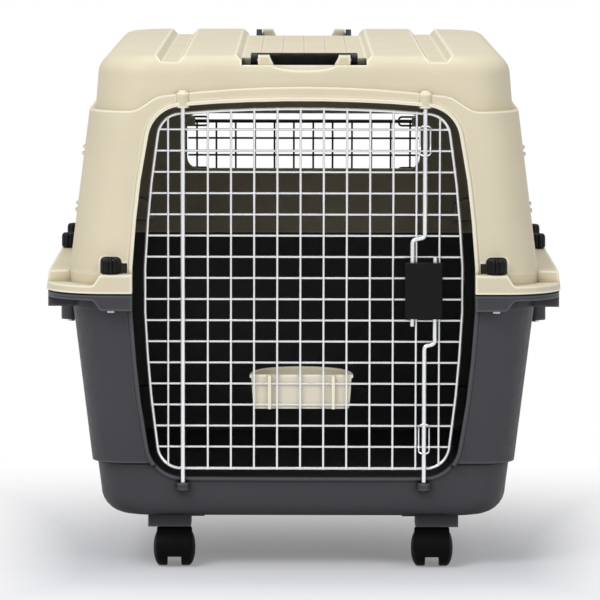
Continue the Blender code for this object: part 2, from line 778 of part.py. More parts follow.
def flange_channel(low_z, high_z, rim_inset=0, lean=0):
    """Hollow under a flange, which leaves the stretches round the end knobs solid."""
    skin = RIM_SKIN
    inset = skin + rim_inset
    outer = shell_body([(inset, inset, FLANGE_CORNER - inset, low_z),
                        (inset + lean, inset, FLANGE_CORNER - inset, high_z)])
    inner = shell_body([
        (SIDE_LEDGE - skin, END_LEDGE - skin, WALL_CORNER + skin, low_z - CUT),
        (SIDE_LEDGE - skin, END_LEDGE - skin, WALL_CORNER + skin, high_z + CUT),
    ])
    cut(outer, inner)
    reach = END_KNOB_X + KNOB_BLOCK_HALF
    cut(outer, box((-reach, -HALF_Y - CUT, low_z - CUT), (reach, 0, high_z + CUT)))
    return cut(outer, merged([box((side * END_KNOB_X - KNOB_BLOCK_HALF, 0, low_z - CUT),
                                  (side * END_KNOB_X + KNOB_BLOCK_HALF, HALF_Y + CUT, high_z + CUT))
                              for side in (-1, 1)]))


def doorway_lip():
    """Raised band round the doorway that follows the slope of the front wall."""
    outline = opening_shape()
    count = len(outline)
    overlap = WALL / 4
    rings = []
    for index, point in enumerate(outline):
        here = Vector(point)
        run = (Vector(outline[(index + 1) % count]) - Vector(outline[index - 1])).normalized()
        outward = Vector((run.y, -run.x))
        face_y = -HALF_Y + front_wall_inset(point[1])
        inner = here - outward * overlap
        outer = here + outward * LIP_WIDTH
        rings.append([
            (inner.x, face_y - LIP_PROUD, inner.y),
            (outer.x, face_y - LIP_PROUD, outer.y),
            (outer.x, face_y + WALL / 2, outer.y),
            (inner.x, face_y + LIP_RETURN, inner.y),
        ])
    return loft(rings, closed=True)


def half_space(above):
    """A large block above or below the seam."""
    size = CRATE_LENGTH
    gap = CLEARANCE / 2
    if above:
        return box((-size, -size, SEAM_Z + gap), (size, size, SEAM_Z + size))
    return box((-size, -size, SEAM_Z - size), (size, size, SEAM_Z - gap))


def doorway_block():
    return prism(opening_shape(), "XZ", -HALF_Y - CUT, DOOR_Y + CRATE_LENGTH / 8)


def socket_bosses(mouth_z, end_z):
    """The two bosses that take the upper or lower rod ends, with a rounded far end."""
    brow_z = end_z - math.copysign(SOCKET_DOME, end_z - mouth_z)
    bosses = []
    for side in (-1, 1):
        x = side * ROD_X
        boss = cylinder((x, DOOR_Y, mouth_z), (x, DOOR_Y, brow_z), SOCKET_RADIUS, 8)
        cap = cylinder((x, DOOR_Y, brow_z), (x, DOOR_Y, end_z), SOCKET_RADIUS, 8, SOCKET_RADIUS - SOCKET_DOME)
        bosses.append(join(boss, cap))
    return merged(bosses)


def socket_bores(start_z, end_z):
    """Blind bores for the two rod ends."""
    return merged([cylinder((side * ROD_X, DOOR_Y, start_z), (side * ROD_X, DOOR_Y, end_z), SOCKET_BORE, 8)
                   for side in (-1, 1)])


def bolt_bores(low_z, high_z):
    return merged([cylinder((x, y, low_z), (x, y, high_z), BOLT_BORE, 8) for _, x, y in knob_places()])


def post_outline(side):
    """Front view of a handle post, with its sloping foot."""
    low_z = WELL_FLOOR_Z - WALL / 2
    points = [(POST_FOOT, low_z), (POST_OUTER, low_z), (POST_OUTER, POST_TOP_Z),
              (POST_INNER + 0.001, POST_TOP_Z), (POST_INNER, POST_TOP_Z - 0.003), (POST_FOOT, NOTCH_SILL_Z)]
    return [(side * x, z) for x, z in points]


def handle_posts(end):
    """The two posts that carry a handle, with the bores for its pins."""
    near = end * (HALF_Y - WELL_START + WALL / 2)
    far = end * (HALF_Y - WELL_START - POST_DEPTH)
    posts = [prism(post_outline(side), "XZ", min(near, far), max(near, far)) for side in (-1, 1)]
    return merged(posts)


def pivot_y(end):
    return end * (HALF_Y - PIVOT_INSET)


def pin_bores(end):
    y = pivot_y(end)
    return merged([cylinder((side * (POST_FOOT - CUT), y, PIVOT_Z), (side * (POST_OUTER + CUT), y, PIVOT_Z),
                            PIN_BORE, 8) for side in (-1, 1)])


# Windows


def window_places():
    """Name, outward angle, half length, row count and column pitch of each window."""
    return (("right_side", 0, SIDE_WINDOW_HALF, SIDE_GRILLE_ROWS, SIDE_GRILLE_PITCH),
            ("rear", 90, REAR_WINDOW_HALF, REAR_GRILLE_ROWS, REAR_GRILLE_PITCH),
            ("left_side", 180, SIDE_WINDOW_HALF, SIDE_GRILLE_ROWS, SIDE_GRILLE_PITCH))


def window_frame(angle):
    """Matrix from a window's own axes, outward, along and up the wall, to the crate."""
    ledge, half = (END_LEDGE, HALF_Y) if angle == 90 else (SIDE_LEDGE, HALF_X)
    reach = half - top_wall_inset(ledge, WINDOW_Z)
    lean = Matrix.Rotation(-math.atan(DRAFT_SLOPE), 4, "Y")
    return Matrix.Rotation(math.radians(angle), 4, "Z") @ Matrix.Translation((reach, 0, WINDOW_Z)) @ lean


def window_block(angle, half):
    outline = rounded_rectangle(half, WINDOW_HALF_HEIGHT, WINDOW_CORNER, 3)
    block = prism(outline, "YZ", -CUT - WALL, CUT)
    return moved_by(block, window_frame(angle))


def clip_places(half):
    """The four clips of a window, as positions along and up the wall."""
    frame_half = half - GRILLE_MARGIN
    rise = WINDOW_HALF_HEIGHT - GRILLE_MARGIN
    return [(side * frame_half, level * rise) for side in (-1, 1) for level in (-1, 1)]


def window_clips(angle, half):
    """Clips at the ends of a window that hold the grille's long frame wires."""
    clips = []
    centre = GRILLE_STAND_OFF
    slot = GRILLE_FRAME_RADIUS + CLEARANCE
    for along, up in clip_places(half):
        side = math.copysign(1, along)
        inner = along + side * CLIP_WIDTH * 0.1
        outer = along + side * (GRILLE_MARGIN + CLIP_WIDTH * 0.6)
        low = min(inner, outer)
        high = max(inner, outer)
        block = box((-WALL * 0.75, low, up - CLIP_HEIGHT / 2), (centre + slot * 2, high, up + CLIP_HEIGHT / 2))
        groove = box((centre - slot, low - CUT, up - slot), (centre + slot * 4, high + CUT, up + slot))
        clips.append(cut(block, groove))
    return moved_by(merged(clips), window_frame(angle))


def grille(half, rows, pitch):
    """Wire grille in the window's own axes: frame wires, rows and columns."""
    frame_half = half - GRILLE_MARGIN
    rise = WINDOW_HALF_HEIGHT - GRILLE_MARGIN
    centre = GRILLE_STAND_OFF
    thick = GRILLE_FRAME_RADIUS
    thin = GRILLE_WIRE_RADIUS
    reach = frame_half + GRILLE_MARGIN * 0.9
    lattice = []
    for row in range(rows):
        up = -rise + 2 * rise * row / (rows - 1)
        size = thick if row in (0, rows - 1) else thin
        lattice.append(box((centre - size, -reach, up - size), (centre + size, reach, up + size)))
    columns = int(2 * frame_half / pitch)
    first = -columns * pitch / 2
    front = centre + thin - WELD_DEPTH
    uprights = []
    for column in range(columns + 1):
        along = first + pitch * column
        uprights.append(box((front, along - thin, -rise - thick / 2),
                            (front + 2 * thin, along + thin, rise + thick / 2)))
    return join(merged(lattice), merged(uprights))


def build_grilles():
    for name, angle, half, rows, pitch in window_places():
        piece = moved_by(grille(half, rows, pitch), window_frame(angle))
        place_part(piece, f"{name}_grille", ZINC, smooth=False)


def build_top_shell():
    """Cream upper moulding: walls, shoulder, roof, handle wells, windows and door lip."""
    shell = top_outer_body()
    cavity = top_cavity()
    for side in (-1, 1):
        cut(shell, groove_block(side * GROOVE_X, 0))
        cut(cavity, groove_block(side * GROOVE_X, WALL))
    cut(shell, trough_block(0))
    cut(cavity, trough_block(WALL))
    for end in (-1, 1):
        cut(shell, well_block(end, 0))
        cut(cavity, well_block(end, WALL))
        cut(shell, notch_block(end))
    for name, x, y in knob_places():
        if is_end_place(name):
            cut(shell, pocket_block(x, y, 0))
            cut(cavity, pocket_block(x, y, WALL))
    cut(shell, cavity)
    channel = flange_channel(SEAM_Z - CUT, LEDGE_Z - RIM_SKIN, 0, FLANGE_LEAN)
    cut(channel, saddles(LEDGE_Z, SADDLE_TOP_Z, 0, RIM_SKIN))
    cut(shell, channel)
    cut(shell, saddles(LEDGE_Z, SADDLE_TOP_Z))
    cut(shell, finger_scoop(16))
    join(shell, intersect(doorway_lip(), half_space(True)))
    cut(shell, doorway_block())
    join(shell, socket_bosses(TOP_SOCKET_LOW_Z, TOP_SOCKET_HIGH_Z))
    cut(shell, socket_bores(TOP_SOCKET_LOW_Z - CLEARANCE, TOP_SOCKET_LOW_Z + SOCKET_DEPTH_TOP))
    for end in (-1, 1):
        join(shell, handle_posts(end))
        cut(shell, pin_bores(end))
    posts = [cylinder((x, y, SEAM_Z + CLEARANCE), (x, y, LEDGE_Z - RIM_SKIN / 2), KNOB_PAD_RADIUS, 8)
             for name, x, y in knob_places() if not is_end_place(name)]
    join(shell, merged(posts))
    cut(shell, bolt_bores(SEAM_Z - CUT, KNOB_BASE_Z + CUT))
    for _, angle, half, _, _ in window_places():
        cut(shell, window_block(angle, half))
        join(shell, window_clips(angle, half))
    lines = [box((LINE_PITCH * step - LINE_WIDTH / 2, -HALF_Y + WELL_END + WALL, TROUGH_Z - LINE_DEPTH),
                 (LINE_PITCH * step + LINE_WIDTH / 2, HALF_Y - WELL_END - WALL, ROOF_Z))
             for step in range(-2, 3)]
    cut(shell, merged(lines))
    place_part(shell, "top_shell", CREAM)


def base_levels(wall):
    """Levels of the base, from its floor up; wall moves them in by the wall thickness."""
    foot_z = BASE_BOTTOM_Z + BASE_FILLET

    def at(z, corner=BASE_CORNER):
        return (base_wall_inset(SIDE_LEDGE, BASE_SIDE_SLOPE, z) + wall,
                base_wall_inset(END_LEDGE, BASE_END_SLOPE, z) + wall, corner - wall, z)

    side, end, _, _ = at(foot_z)
    levels = []
    for step in range(FILLET_STEPS, -1, -1):
        angle = math.radians(90 * step / FILLET_STEPS)
        turn = 1 - math.cos(angle)
        corner = BASE_CORNER - wall - (BASE_CORNER - BASE_FOOT_CORNER) * turn
        levels.append((side + (BASE_FILLET - wall) * turn, end + (BASE_END_FILLET - wall) * turn, corner,
                       foot_z - (BASE_FILLET - wall) * math.sin(angle)))
    below = BASE_STEP_Z - BASE_STEP / 4
    above = BASE_STEP_Z + BASE_STEP / 4
    return levels + [at(below), at(above), at(RIM_Z, WALL_CORNER)]


def castor_places():
    """Name and stem position of each castor."""
    places = []
    for end, end_sign in (("front", -1), ("rear", 1)):
        for side, side_sign in (("left", -1), ("right", 1)):
            places.append((f"{end}_{side}_castor", side_sign, side_sign * CASTOR_X,
                           end_sign * (HALF_Y - CASTOR_INSET)))
    return places


def castor_block(side, y):
    """Socket block under the base for one castor."""
    near, far = side * BLOCK_INNER, side * BLOCK_OUTER
    return box((min(near, far), y - BLOCK_HALF_Y, BLOCK_LOW_Z),
               (max(near, far), y + BLOCK_HALF_Y, BASE_BOTTOM_Z + WALL / 2))


def plate_span(side, margin):
    """X range of a castor's retaining plate, from the block's inside to past its inner edge."""
    outer = side * (BLOCK_OUTER - WALL + margin)
    inner = side * (PLATE_INNER - margin)
    return min(outer, inner), max(outer, inner)


def build_base_shell():
    """Grey lower moulding: floor, walls, rim, bosses and castor sockets."""
    shell = shell_body(base_levels(0))
    seam = SEAM_Z - CLEARANCE / 2
    rim = (RIM_INSET, RIM_INSET, FLANGE_CORNER - RIM_INSET)
    inner = [inset + REBATE_DEPTH for inset in rim[:2]] + [rim[2] - REBATE_DEPTH]
    join(shell, shell_body([(*rim, RIM_Z), (*rim, seam - REBATE_HEIGHT), (*inner, seam - REBATE_HEIGHT),
                            (*inner, seam)]))
    cavity = shell_body(base_levels(WALL) + [(SIDE_LEDGE + WALL, END_LEDGE + WALL, WALL_CORNER - WALL, SEAM_Z),
                                             (SIDE_LEDGE + WALL, END_LEDGE + WALL, WALL_CORNER - WALL,
                                              SEAM_Z + CUT)])
    cut(shell, cavity)
    channel = flange_channel(RIM_Z - CUT, SEAM_Z - RIM_SKIN, RIM_INSET)
    cut(channel, saddles(RIM_Z, SEAM_Z, 0, RIM_SKIN))
    cut(shell, channel)
    cut(shell, saddles(RIM_Z, SADDLE_LOW_Z, BASE_RIM_INSET))
    join(shell, intersect(doorway_lip(), half_space(False)))
    cut(shell, doorway_block())
    join(shell, socket_bosses(BASE_SOCKET_HIGH_Z, BASE_SOCKET_LOW_Z))
    cut(shell, socket_bores(OPENING_BOTTOM_Z + CLEARANCE, BASE_SOCKET_HIGH_Z - SOCKET_DEPTH_BASE))
    bosses = [cylinder((x, y, SIDE_BOSS_LOW_Z), (x, y, seam - CLEARANCE), SIDE_BOSS_RADIUS, 8)
              for name, x, y in knob_places() if not is_end_place(name)]
    join(shell, merged(bosses))
    cut(shell, bolt_bores(SIDE_BOSS_LOW_Z - CUT, SEAM_Z + CUT))
    for _, side, x, y in castor_places():
        join(shell, castor_block(side, y))
        plate_top = BASE_BOTTOM_Z - CLEARANCE
        low_x, high_x = plate_span(side, CLEARANCE)
        slot = box((low_x, y - PLATE_HALF_Y - CLEARANCE, plate_top - PLATE_THICKNESS - CLEARANCE * 2),
                   (high_x, y + PLATE_HALF_Y + CLEARANCE, BASE_BOTTOM_Z))
        cut(shell, slot)
        cut(shell, cylinder((x, y, BLOCK_LOW_Z - CUT), (x, y, BASE_BOTTOM_Z - PLATE_THICKNESS), STEM_BORE, 12))
    place_part(shell, "base_shell", GREY)


# Door


def grid_planes():
    """Centre Y of the upright wires, the frame wire and the cross wires, behind the rods."""
    uprights = DOOR_Y + ROD_RADIUS + CLEARANCE + WIRE_RADIUS
    cross = uprights + 2 * WIRE_RADIUS - WELD_DEPTH
    return uprights, (uprights + cross) / 2, cross


def square_bar(x_range, y, z_range, radius):
    return box((x_range[0], y - radius, z_range[0]), (x_range[1], y + radius, z_range[1]))


def build_door_grid():
    """Welded grid: one bent frame wire, sixteen cross wires and twelve uprights."""
    upright_y, frame_y, cross_y = grid_planes()
    outline = frame_shape()
    rows = []
    for row in range(GRID_ROWS):
        z = GRID_FIRST_Z + GRID_PITCH_Z * row
        low, high = crossings(outline, z, 1)
        rows.append(square_bar((low, high), cross_y,
                               (z - WIRE_RADIUS, z + WIRE_RADIUS), WIRE_RADIUS))
    columns = []
    positions = [EDGE_WIRE_X] + [GRID_FIRST_X + GRID_PITCH_X * column for column in range(GRID_COLUMNS)]
    for x in positions:
        low, high = crossings(outline, x, 0)
        columns.append(square_bar((x - WIRE_RADIUS, x + WIRE_RADIUS), upright_y,
                                  (low, high), WIRE_RADIUS))
    grid = join(merged(rows), merged(columns))
    frame = tube([(x, frame_y, z) for x, z in outline], FRAME_RADIUS, cyclic=True)
    join(grid, frame)
    place_part(grid, "door_grid", ZINC, origin=(-ROD_X, DOOR_Y, BULGE_Z), smooth=False)


def build_hinge_rod():
    rod = cylinder((-ROD_X, DOOR_Y, BASE_SOCKET_HIGH_Z - SOCKET_DEPTH_BASE + TIP_CLEARANCE),
                   (-ROD_X, DOOR_Y, TOP_SOCKET_LOW_Z + SOCKET_DEPTH_TOP - TIP_CLEARANCE), ROD_RADIUS, ROD_SIDES)
    place_part(rod, "hinge_rod", ZINC, origin=(-ROD_X, DOOR_Y, BULGE_Z))


def eased(path, radius, steps):
    """Round the inner corners of an open path."""
    points = [Vector(path[0])]
    for back, here, ahead in zip(path, path[1:], path[2:]):
        here = Vector(here)
        start = here + (Vector(back) - here).normalized() * radius
        end = here + (Vector(ahead) - here).normalized() * radius
        for step in range(steps + 1):
            share = step / steps
            points.append(start * (1 - share) ** 2 + here * 2 * share * (1 - share) + end * share ** 2)
    return points + [Vector(path[-1])]


def rod_collar(x, z):
    return cylinder((x, DOOR_Y, z - COLLAR_HEIGHT / 2), (x, DOOR_Y, z + COLLAR_HEIGHT / 2), COLLAR_RADIUS, 10)


def collar_z(direction):
    return LATCH_RIB_Z + direction * COLLAR_OFFSET


def build_latch_rods():
    """Two cranked rods that slide apart into the sockets."""
    upper_tip = TOP_SOCKET_LOW_Z - TIP_CLEARANCE
    lower_tip = BASE_SOCKET_HIGH_Z + TIP_CLEARANCE
    paths = {
        "upper_latch_rod": (1, UPPER_GRIP_X, [
            (ROD_X, upper_tip), (ROD_X, UPPER_KINK_Z + KINK_HEIGHT / 2),
            (UPPER_GRIP_X, UPPER_KINK_Z - KINK_HEIGHT / 2), (UPPER_GRIP_X, UPPER_GRIP_END_Z)]),
        "lower_latch_rod": (-1, LOWER_GRIP_X, [
            (ROD_X, lower_tip), (ROD_X, LOWER_KINK_Z - KINK_HEIGHT / 2),
            (LOWER_GRIP_X, LOWER_KINK_Z + KINK_HEIGHT / 2), (LOWER_GRIP_X, LOWER_GRIP_END_Z)]),
    }
    for name, (direction, grip_x, path) in paths.items():
        rod = tube(eased([(x, DOOR_Y, z) for x, z in path], KINK_EASE, 2), ROD_RADIUS, resolution=2)
        join(rod, rod_collar(grip_x, collar_z(direction)))
        place_part(rod, name, ZINC, origin=(ROD_X, DOOR_Y, path[0][1]))


def rod_slots(low_z, high_z, radius):
    """Slots that let both rods pass through a wall of the latch case from behind."""
    slots = []
    for x in (UPPER_GRIP_X, LOWER_GRIP_X):
        slots.append(box((x - radius, DOOR_Y - radius, low_z), (x + radius, DOOR_Y + CUT, high_z)))
    return merged(slots)


def latch_back_y():
    """Back of the latch case, level with the backs of the rods."""
    return DOOR_Y + ROD_RADIUS


def build_latch_case():
    """Black cover over the rods, hollow and open behind, with a rib between its two springs."""
    (low_x, low_z), (high_x, high_z) = LATCH_LOW, LATCH_HIGH
    back_y = latch_back_y()
    front_y = back_y - LATCH_DEPTH
    outline = rounded_rectangle((high_x - low_x) / 2, (high_z - low_z) / 2, 0.002, 2,
                                ((low_x + high_x) / 2, (low_z + high_z) / 2))
    case = prism(outline, "XZ", front_y, back_y)
    wall = LATCH_WALL
    cut(case, box((low_x + wall, front_y + wall, low_z + wall), (high_x - wall, back_y + CUT, high_z - wall)))
    join(case, box((low_x + wall / 2, front_y + wall / 2, LATCH_RIB_Z - wall / 2),
                   (high_x - wall / 2, back_y, LATCH_RIB_Z + wall / 2)))
    cut(case, rod_slots(low_z - CUT, high_z + CUT, ROD_RADIUS + CLEARANCE))
    place_part(case, "latch_case", BLACK, smooth=False)


def build_latch_back():
    """Plate behind the grid with two posts that reach through it to the case."""
    (low_x, low_z), (high_x, high_z) = LATCH_LOW, LATCH_HIGH
    _, _, cross_y = grid_planes()
    front_y = cross_y + WIRE_RADIUS + CLEARANCE
    plate = box((low_x + LATCH_WALL, front_y, low_z + LATCH_WALL),
                (high_x - LATCH_WALL, front_y + LATCH_WALL, high_z - LATCH_WALL))
    case_face = latch_back_y() - LATCH_DEPTH + LATCH_WALL + CLEARANCE
    post_x = (UPPER_GRIP_X + LOWER_GRIP_X) / 2
    wire_z = GRID_FIRST_Z + GRID_PITCH_Z * 7
    for z in (wire_z - GRID_PITCH_Z / 2, wire_z + GRID_PITCH_Z * 1.5):
        join(plate, cylinder((post_x, front_y + LATCH_WALL / 2, z), (post_x, case_face, z), 0.0025, 10))
    place_part(plate, "latch_back", BLACK)


def least_gap(path, points_per_turn, radius):
    """Smallest gap between a wire's surface and itself, at points half a turn or more apart."""
    apart = points_per_turn // 2 + 1
    points = [Vector(point) for point in path]
    nearest = min((first - last).length
                  for index, first in enumerate(points) for last in points[index + apart:])
    return nearest - 2 * radius


def build_latch_springs():
    """Coil springs round the rods, from the case's rib to each rod's collar."""
    points_per_turn = 7
    for name, direction, x in (("upper_latch_spring", 1, UPPER_GRIP_X), ("lower_latch_spring", -1, LOWER_GRIP_X)):
        start = LATCH_RIB_Z + direction * (LATCH_WALL / 2 + CLEARANCE + SPRING_WIRE)
        end = collar_z(direction) - direction * (COLLAR_HEIGHT / 2 + CLEARANCE + SPRING_WIRE)
        steps = SPRING_TURNS * points_per_turn
        path = []
        for step in range(steps + 1):
            angle = 2 * math.pi * step / points_per_turn
            path.append((x + SPRING_RADIUS * math.cos(angle), DOOR_Y + SPRING_RADIUS * math.sin(angle),
                         start + (end - start) * step / steps))
        print(f"{name}: least gap to itself {least_gap(path, points_per_turn, SPRING_WIRE) * 1000:.2f} mm")
        place_part(tube(path, SPRING_WIRE), name, STEEL)


def build_rod_guides():
    """Wire guides welded on the grid that keep the rods on the door."""
    _, _, cross_y = grid_planes()
    back_y = cross_y - WIRE_RADIUS - CLEARANCE - GUIDE_WIRE
    front_y = DOOR_Y - ROD_RADIUS - CLEARANCE - GUIDE_WIRE
    for name, z in (("upper_rod_guide", UPPER_GUIDE_Z), ("lower_rod_guide", LOWER_GUIDE_Z)):
        path = []
        for side, level in ((-1, -1), (1, -1), (1, 1), (-1, 1)):
            x = ROD_X + side * GUIDE_HALF
            edge_z = z + level * GUIDE_HEIGHT / 2
            inner_z = edge_z - level * GUIDE_HEIGHT / 5
            corner = [(x, back_y, inner_z), (x, front_y, edge_z)]
            path += corner if side * level > 0 else corner[::-1]
        place_part(tube(path, GUIDE_WIRE, cyclic=True), name, ZINC)


# Feed bowl


def bowl_outline(half, depth, z, front_y):
    """Flat-fronted bowl in plan: a straight front and a curved back."""
    steps = 10
    points = []
    for step in range(steps + 1):
        angle = math.pi * step / steps
        bulge = math.sin(angle) ** 0.75
        points.append((BOWL_X + half * math.cos(angle), front_y + depth * bulge, z))
    return points


def build_feed_bowl():
    """Cream bowl with a rolled rim and two long hooks over a cross wire."""
    _, _, cross_y = grid_planes()
    front_y = cross_y + WIRE_RADIUS + CLEARANCE
    rim_low = BOWL_RIM_Z - BOWL_RIM * 1.5
    foot_half = BOWL_HALF - BOWL_RIM - BOWL_TAPER
    body = loft([
        bowl_outline(foot_half, BOWL_DEPTH - BOWL_RIM - BOWL_TAPER * 2, BOWL_BOTTOM_Z, front_y),
        bowl_outline(BOWL_HALF - BOWL_RIM, BOWL_DEPTH - BOWL_RIM, rim_low, front_y),
        bowl_outline(BOWL_HALF, BOWL_DEPTH, rim_low + BOWL_RIM / 2, front_y),
        bowl_outline(BOWL_HALF, BOWL_DEPTH, BOWL_RIM_Z, front_y),
    ])
    inner_front = front_y + BOWL_WALL
    hollow = loft([
        bowl_outline(foot_half - BOWL_WALL, BOWL_DEPTH - BOWL_RIM - BOWL_TAPER * 2 - BOWL_WALL * 2,
                     BOWL_BOTTOM_Z + BOWL_WALL, inner_front),
        bowl_outline(BOWL_HALF - BOWL_RIM - BOWL_WALL, BOWL_DEPTH - BOWL_RIM - BOWL_WALL * 2,
                     BOWL_RIM_Z + CUT, inner_front),
    ])
    cut(body, hollow)
    wire_z = GRID_FIRST_Z + GRID_PITCH_Z * BOWL_WIRE_ROW
    seat_z = wire_z + WIRE_RADIUS + CLEARANCE
    strap_y = cross_y - WIRE_RADIUS - CLEARANCE
    for side in (-1, 1):
        x = BOWL_X + side * HOOK_OFFSET
        profile = [(front_y + BOWL_WALL / 2, seat_z), (strap_y, seat_z), (strap_y, BOWL_BOTTOM_Z),
                   (strap_y - HOOK_THICKNESS, BOWL_BOTTOM_Z), (strap_y - HOOK_THICKNESS, BOWL_RIM_Z - 0.001),
                   (strap_y - HOOK_THICKNESS / 2, BOWL_RIM_Z), (front_y + BOWL_WALL / 2, BOWL_RIM_Z)]
        join(body, prism(profile, "YZ", x - HOOK_WIDTH / 2, x + HOOK_WIDTH / 2))
    place_part(body, "feed_bowl", CREAM, origin=(BOWL_X, front_y, BOWL_RIM_Z))


# Carry handles


def build_handle(name, end, drop):
    """U-shaped handle whose arms swing on pins in the posts; drop lowers its grip into the well."""
    y = pivot_y(end)
    inward = -end
    inner_x = POST_OUTER + ARM_GAP
    outer_x = inner_x + ARM_THICKNESS
    arms = []
    for side in (-1, 1):
        profile = arc(0, 0, ARM_RADIUS, 90, 270, 5) + [(ARM_LENGTH, -ARM_RADIUS), (ARM_LENGTH, ARM_RADIUS)]
        placed = [(y + inward * a, PIVOT_Z + b) for a, b in profile]
        low, high = sorted((side * inner_x, side * outer_x))
        arms.append(prism(placed, "YZ", low, high))
    grip_steps = 12
    rings = []
    for step in range(grip_steps + 1):
        x = -outer_x + 2 * outer_x * step / grip_steps
        wave = GRIP_WAVE * math.cos(4 * math.pi * x / inner_x)
        middle = y + inward * (ARM_LENGTH + GRIP_DEPTH * 0.1)
        ring = rounded_rectangle(GRIP_DEPTH / 2 + wave, GRIP_HALF_HEIGHT, GRIP_CORNER, 1)
        rings.append([(x, middle + a, PIVOT_Z + b) for a, b in ring])
    handle = join(merged(arms), loft(rings))
    bores = merged([cylinder((side * (inner_x - CUT), y, PIVOT_Z), (side * (outer_x + CUT), y, PIVOT_Z),
                             PIN_BORE, 8) for side in (-1, 1)])
    cut(handle, bores)
    pivot = Vector((0, y, PIVOT_Z))
    swing = Matrix.Translation(pivot) @ Matrix.Rotation(end * drop, 4, "X") @ Matrix.Translation(-pivot)
    handle = moved_by(handle, swing)
    place_part(handle, name, BLACK, origin=pivot)
    for side_name, side in (("left", -1), ("right", 1)):
        start = side * (POST_INNER + 0.0015)
        finish = side * (outer_x - 0.0002)
        pin = cylinder((start, y, PIVOT_Z), (finish, y, PIVOT_Z), PIN_RADIUS, 8)
        place_part(pin, f"{name}_{side_name}_pin", STEEL)


# Knobs and bolts


def build_knobs():
    for name, x, y in knob_places():
        points = KNOB_RIBS * 2
        rings = []
        shape = ((1.0, 0.0), (1.0, 0.75), (0.78, 1.0))
        for share, height in shape:
            ring = []
            for step in range(points):
                angle = 2 * math.pi * step / points
                radius = share * (KNOB_RADIUS - KNOB_RIB * (step % 2))
                ring.append((x + radius * math.cos(angle), y + radius * math.sin(angle),
                             KNOB_BASE_Z + KNOB_HEIGHT * height))
            rings.append(ring)
        knob = loft(rings)
        cut(knob, cylinder((x, y, KNOB_BASE_Z - CUT), (x, y, KNOB_BASE_Z + BOLT_REACH + CLEARANCE), BOLT_BORE, 6))
        place_part(knob, f"{name}_knob", BLACK)


def build_bolts():
    for name, x, y in knob_places():
        seat_z = (RIM_Z if is_end_place(name) else SIDE_BOSS_LOW_Z) - CLEARANCE
        head = cylinder((x, y, seat_z - BOLT_HEAD_HEIGHT), (x, y, seat_z), BOLT_HEAD_RADIUS, 6)
        join(head, cylinder((x, y, seat_z - BOLT_HEAD_HEIGHT / 2), (x, y, KNOB_BASE_Z + BOLT_REACH), BOLT_RADIUS, 6))
        place_part(head, f"{name}_bolt", STEEL)


# Castors


def wheel_profile():
    """Half section of a domed wheel, from its hub bore outwards; height runs away from the hood."""
    width = WHEEL_OUTER - WHEEL_INNER
    tread = WHEEL_TREAD - WHEEL_INNER
    return [(0.0, width * 0.72), (AXLE_BORE, width * 0.72), (AXLE_BORE, 0.0), (WHEEL_RADIUS, 0.0),
            (WHEEL_RADIUS, tread), (WHEEL_FACE_RADIUS, width), (0.0, width)]


def build_castor(name, side, x, stem_y):
    """Hood with its stem, axle, two wheels and the plate that retains the stem."""
    axle_y = stem_y + math.copysign(TRAIL, stem_y)
    axle_z = WHEEL_RADIUS
    outer = WHEEL_RADIUS + HOOD_GAP + HOOD_SKIN
    inner = WHEEL_RADIUS + HOOD_GAP
    forward = math.copysign(1, stem_y)

    def fan(radius, start, end, steps):
        return [(axle_y + forward * a, axle_z + b) for a, b in arc(0, 0, radius, start, end, steps)]

    sweep_start, sweep_end = HOOD_SWEEP
    hood_outline = fan(outer, sweep_start, sweep_end, 8) + fan(inner, sweep_end, sweep_start, 8)
    hood = prism(hood_outline, "YZ", x - HOOD_HALF, x + HOOD_HALF)
    web_outline = fan((outer + inner) / 2, sweep_start, sweep_end, 8) + [(axle_y, axle_z - AXLE_BORE * 2)]
    join(hood, prism(web_outline, "YZ", x - WEB_HALF, x + WEB_HALF))
    stem_top = BASE_BOTTOM_Z - CLEARANCE - PLATE_THICKNESS - CLEARANCE * 2
    join(hood, cylinder((x, stem_y, axle_z + WHEEL_RADIUS * 0.75), (x, stem_y, stem_top), STEM_RADIUS, 12))
    cut(hood, cylinder((x - WEB_HALF - CUT, axle_y, axle_z), (x + WEB_HALF + CUT, axle_y, axle_z), AXLE_BORE, 12))
    place_part(hood, f"{name}_hood", BLACK, origin=(x, stem_y, axle_z))
    reach = WHEEL_INNER + (WHEEL_OUTER - WHEEL_INNER) * 0.68
    axle = cylinder((x - reach, axle_y, axle_z), (x + reach, axle_y, axle_z), AXLE_RADIUS, 12)
    place_part(axle, f"{name}_axle", STEEL)
    for wheel_name, direction in (("left", -1), ("right", 1)):
        centre = (x + direction * WHEEL_INNER, axle_y, axle_z)
        turn = Matrix.Rotation(direction * math.pi / 2, 4, "Y")
        wheel = turned(wheel_profile(), centre, turn, 16)
        place_part(wheel, f"{name}_{wheel_name}_wheel", BLACK, origin=(x, axle_y, axle_z))
    low_x, high_x = plate_span(side, 0)
    top_z = BASE_BOTTOM_Z - CLEARANCE
    plate = box((low_x, stem_y - PLATE_HALF_Y, top_z - PLATE_THICKNESS), (high_x, stem_y + PLATE_HALF_Y, top_z))
    place_part(plate, f"{name}_plate", BLACK, smooth=False)


def build_crate():
    build_top_shell()
    build_base_shell()
    build_grilles()
    build_door_grid()
    build_hinge_rod()
    build_latch_rods()
    build_latch_case()
    build_latch_back()
    build_latch_springs()
    build_rod_guides()
    build_feed_bowl()
    build_handle("front_handle", -1, 0.0)
    build_handle("rear_handle", 1, REAR_HANDLE_DROP)
    build_knobs()
    build_bolts()
    for place in castor_places():
        build_castor(*place)


build_crate()
bpy.data.collections.remove(WORK)
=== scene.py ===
"""Looks of the moulded pet travel crate: finer shells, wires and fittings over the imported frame.

Everything is in metres, +Z up, with the door at -Y, in the same frame as the crate's solids.
"""
import math

import bmesh
import bpy
from mathutils import Matrix, Vector


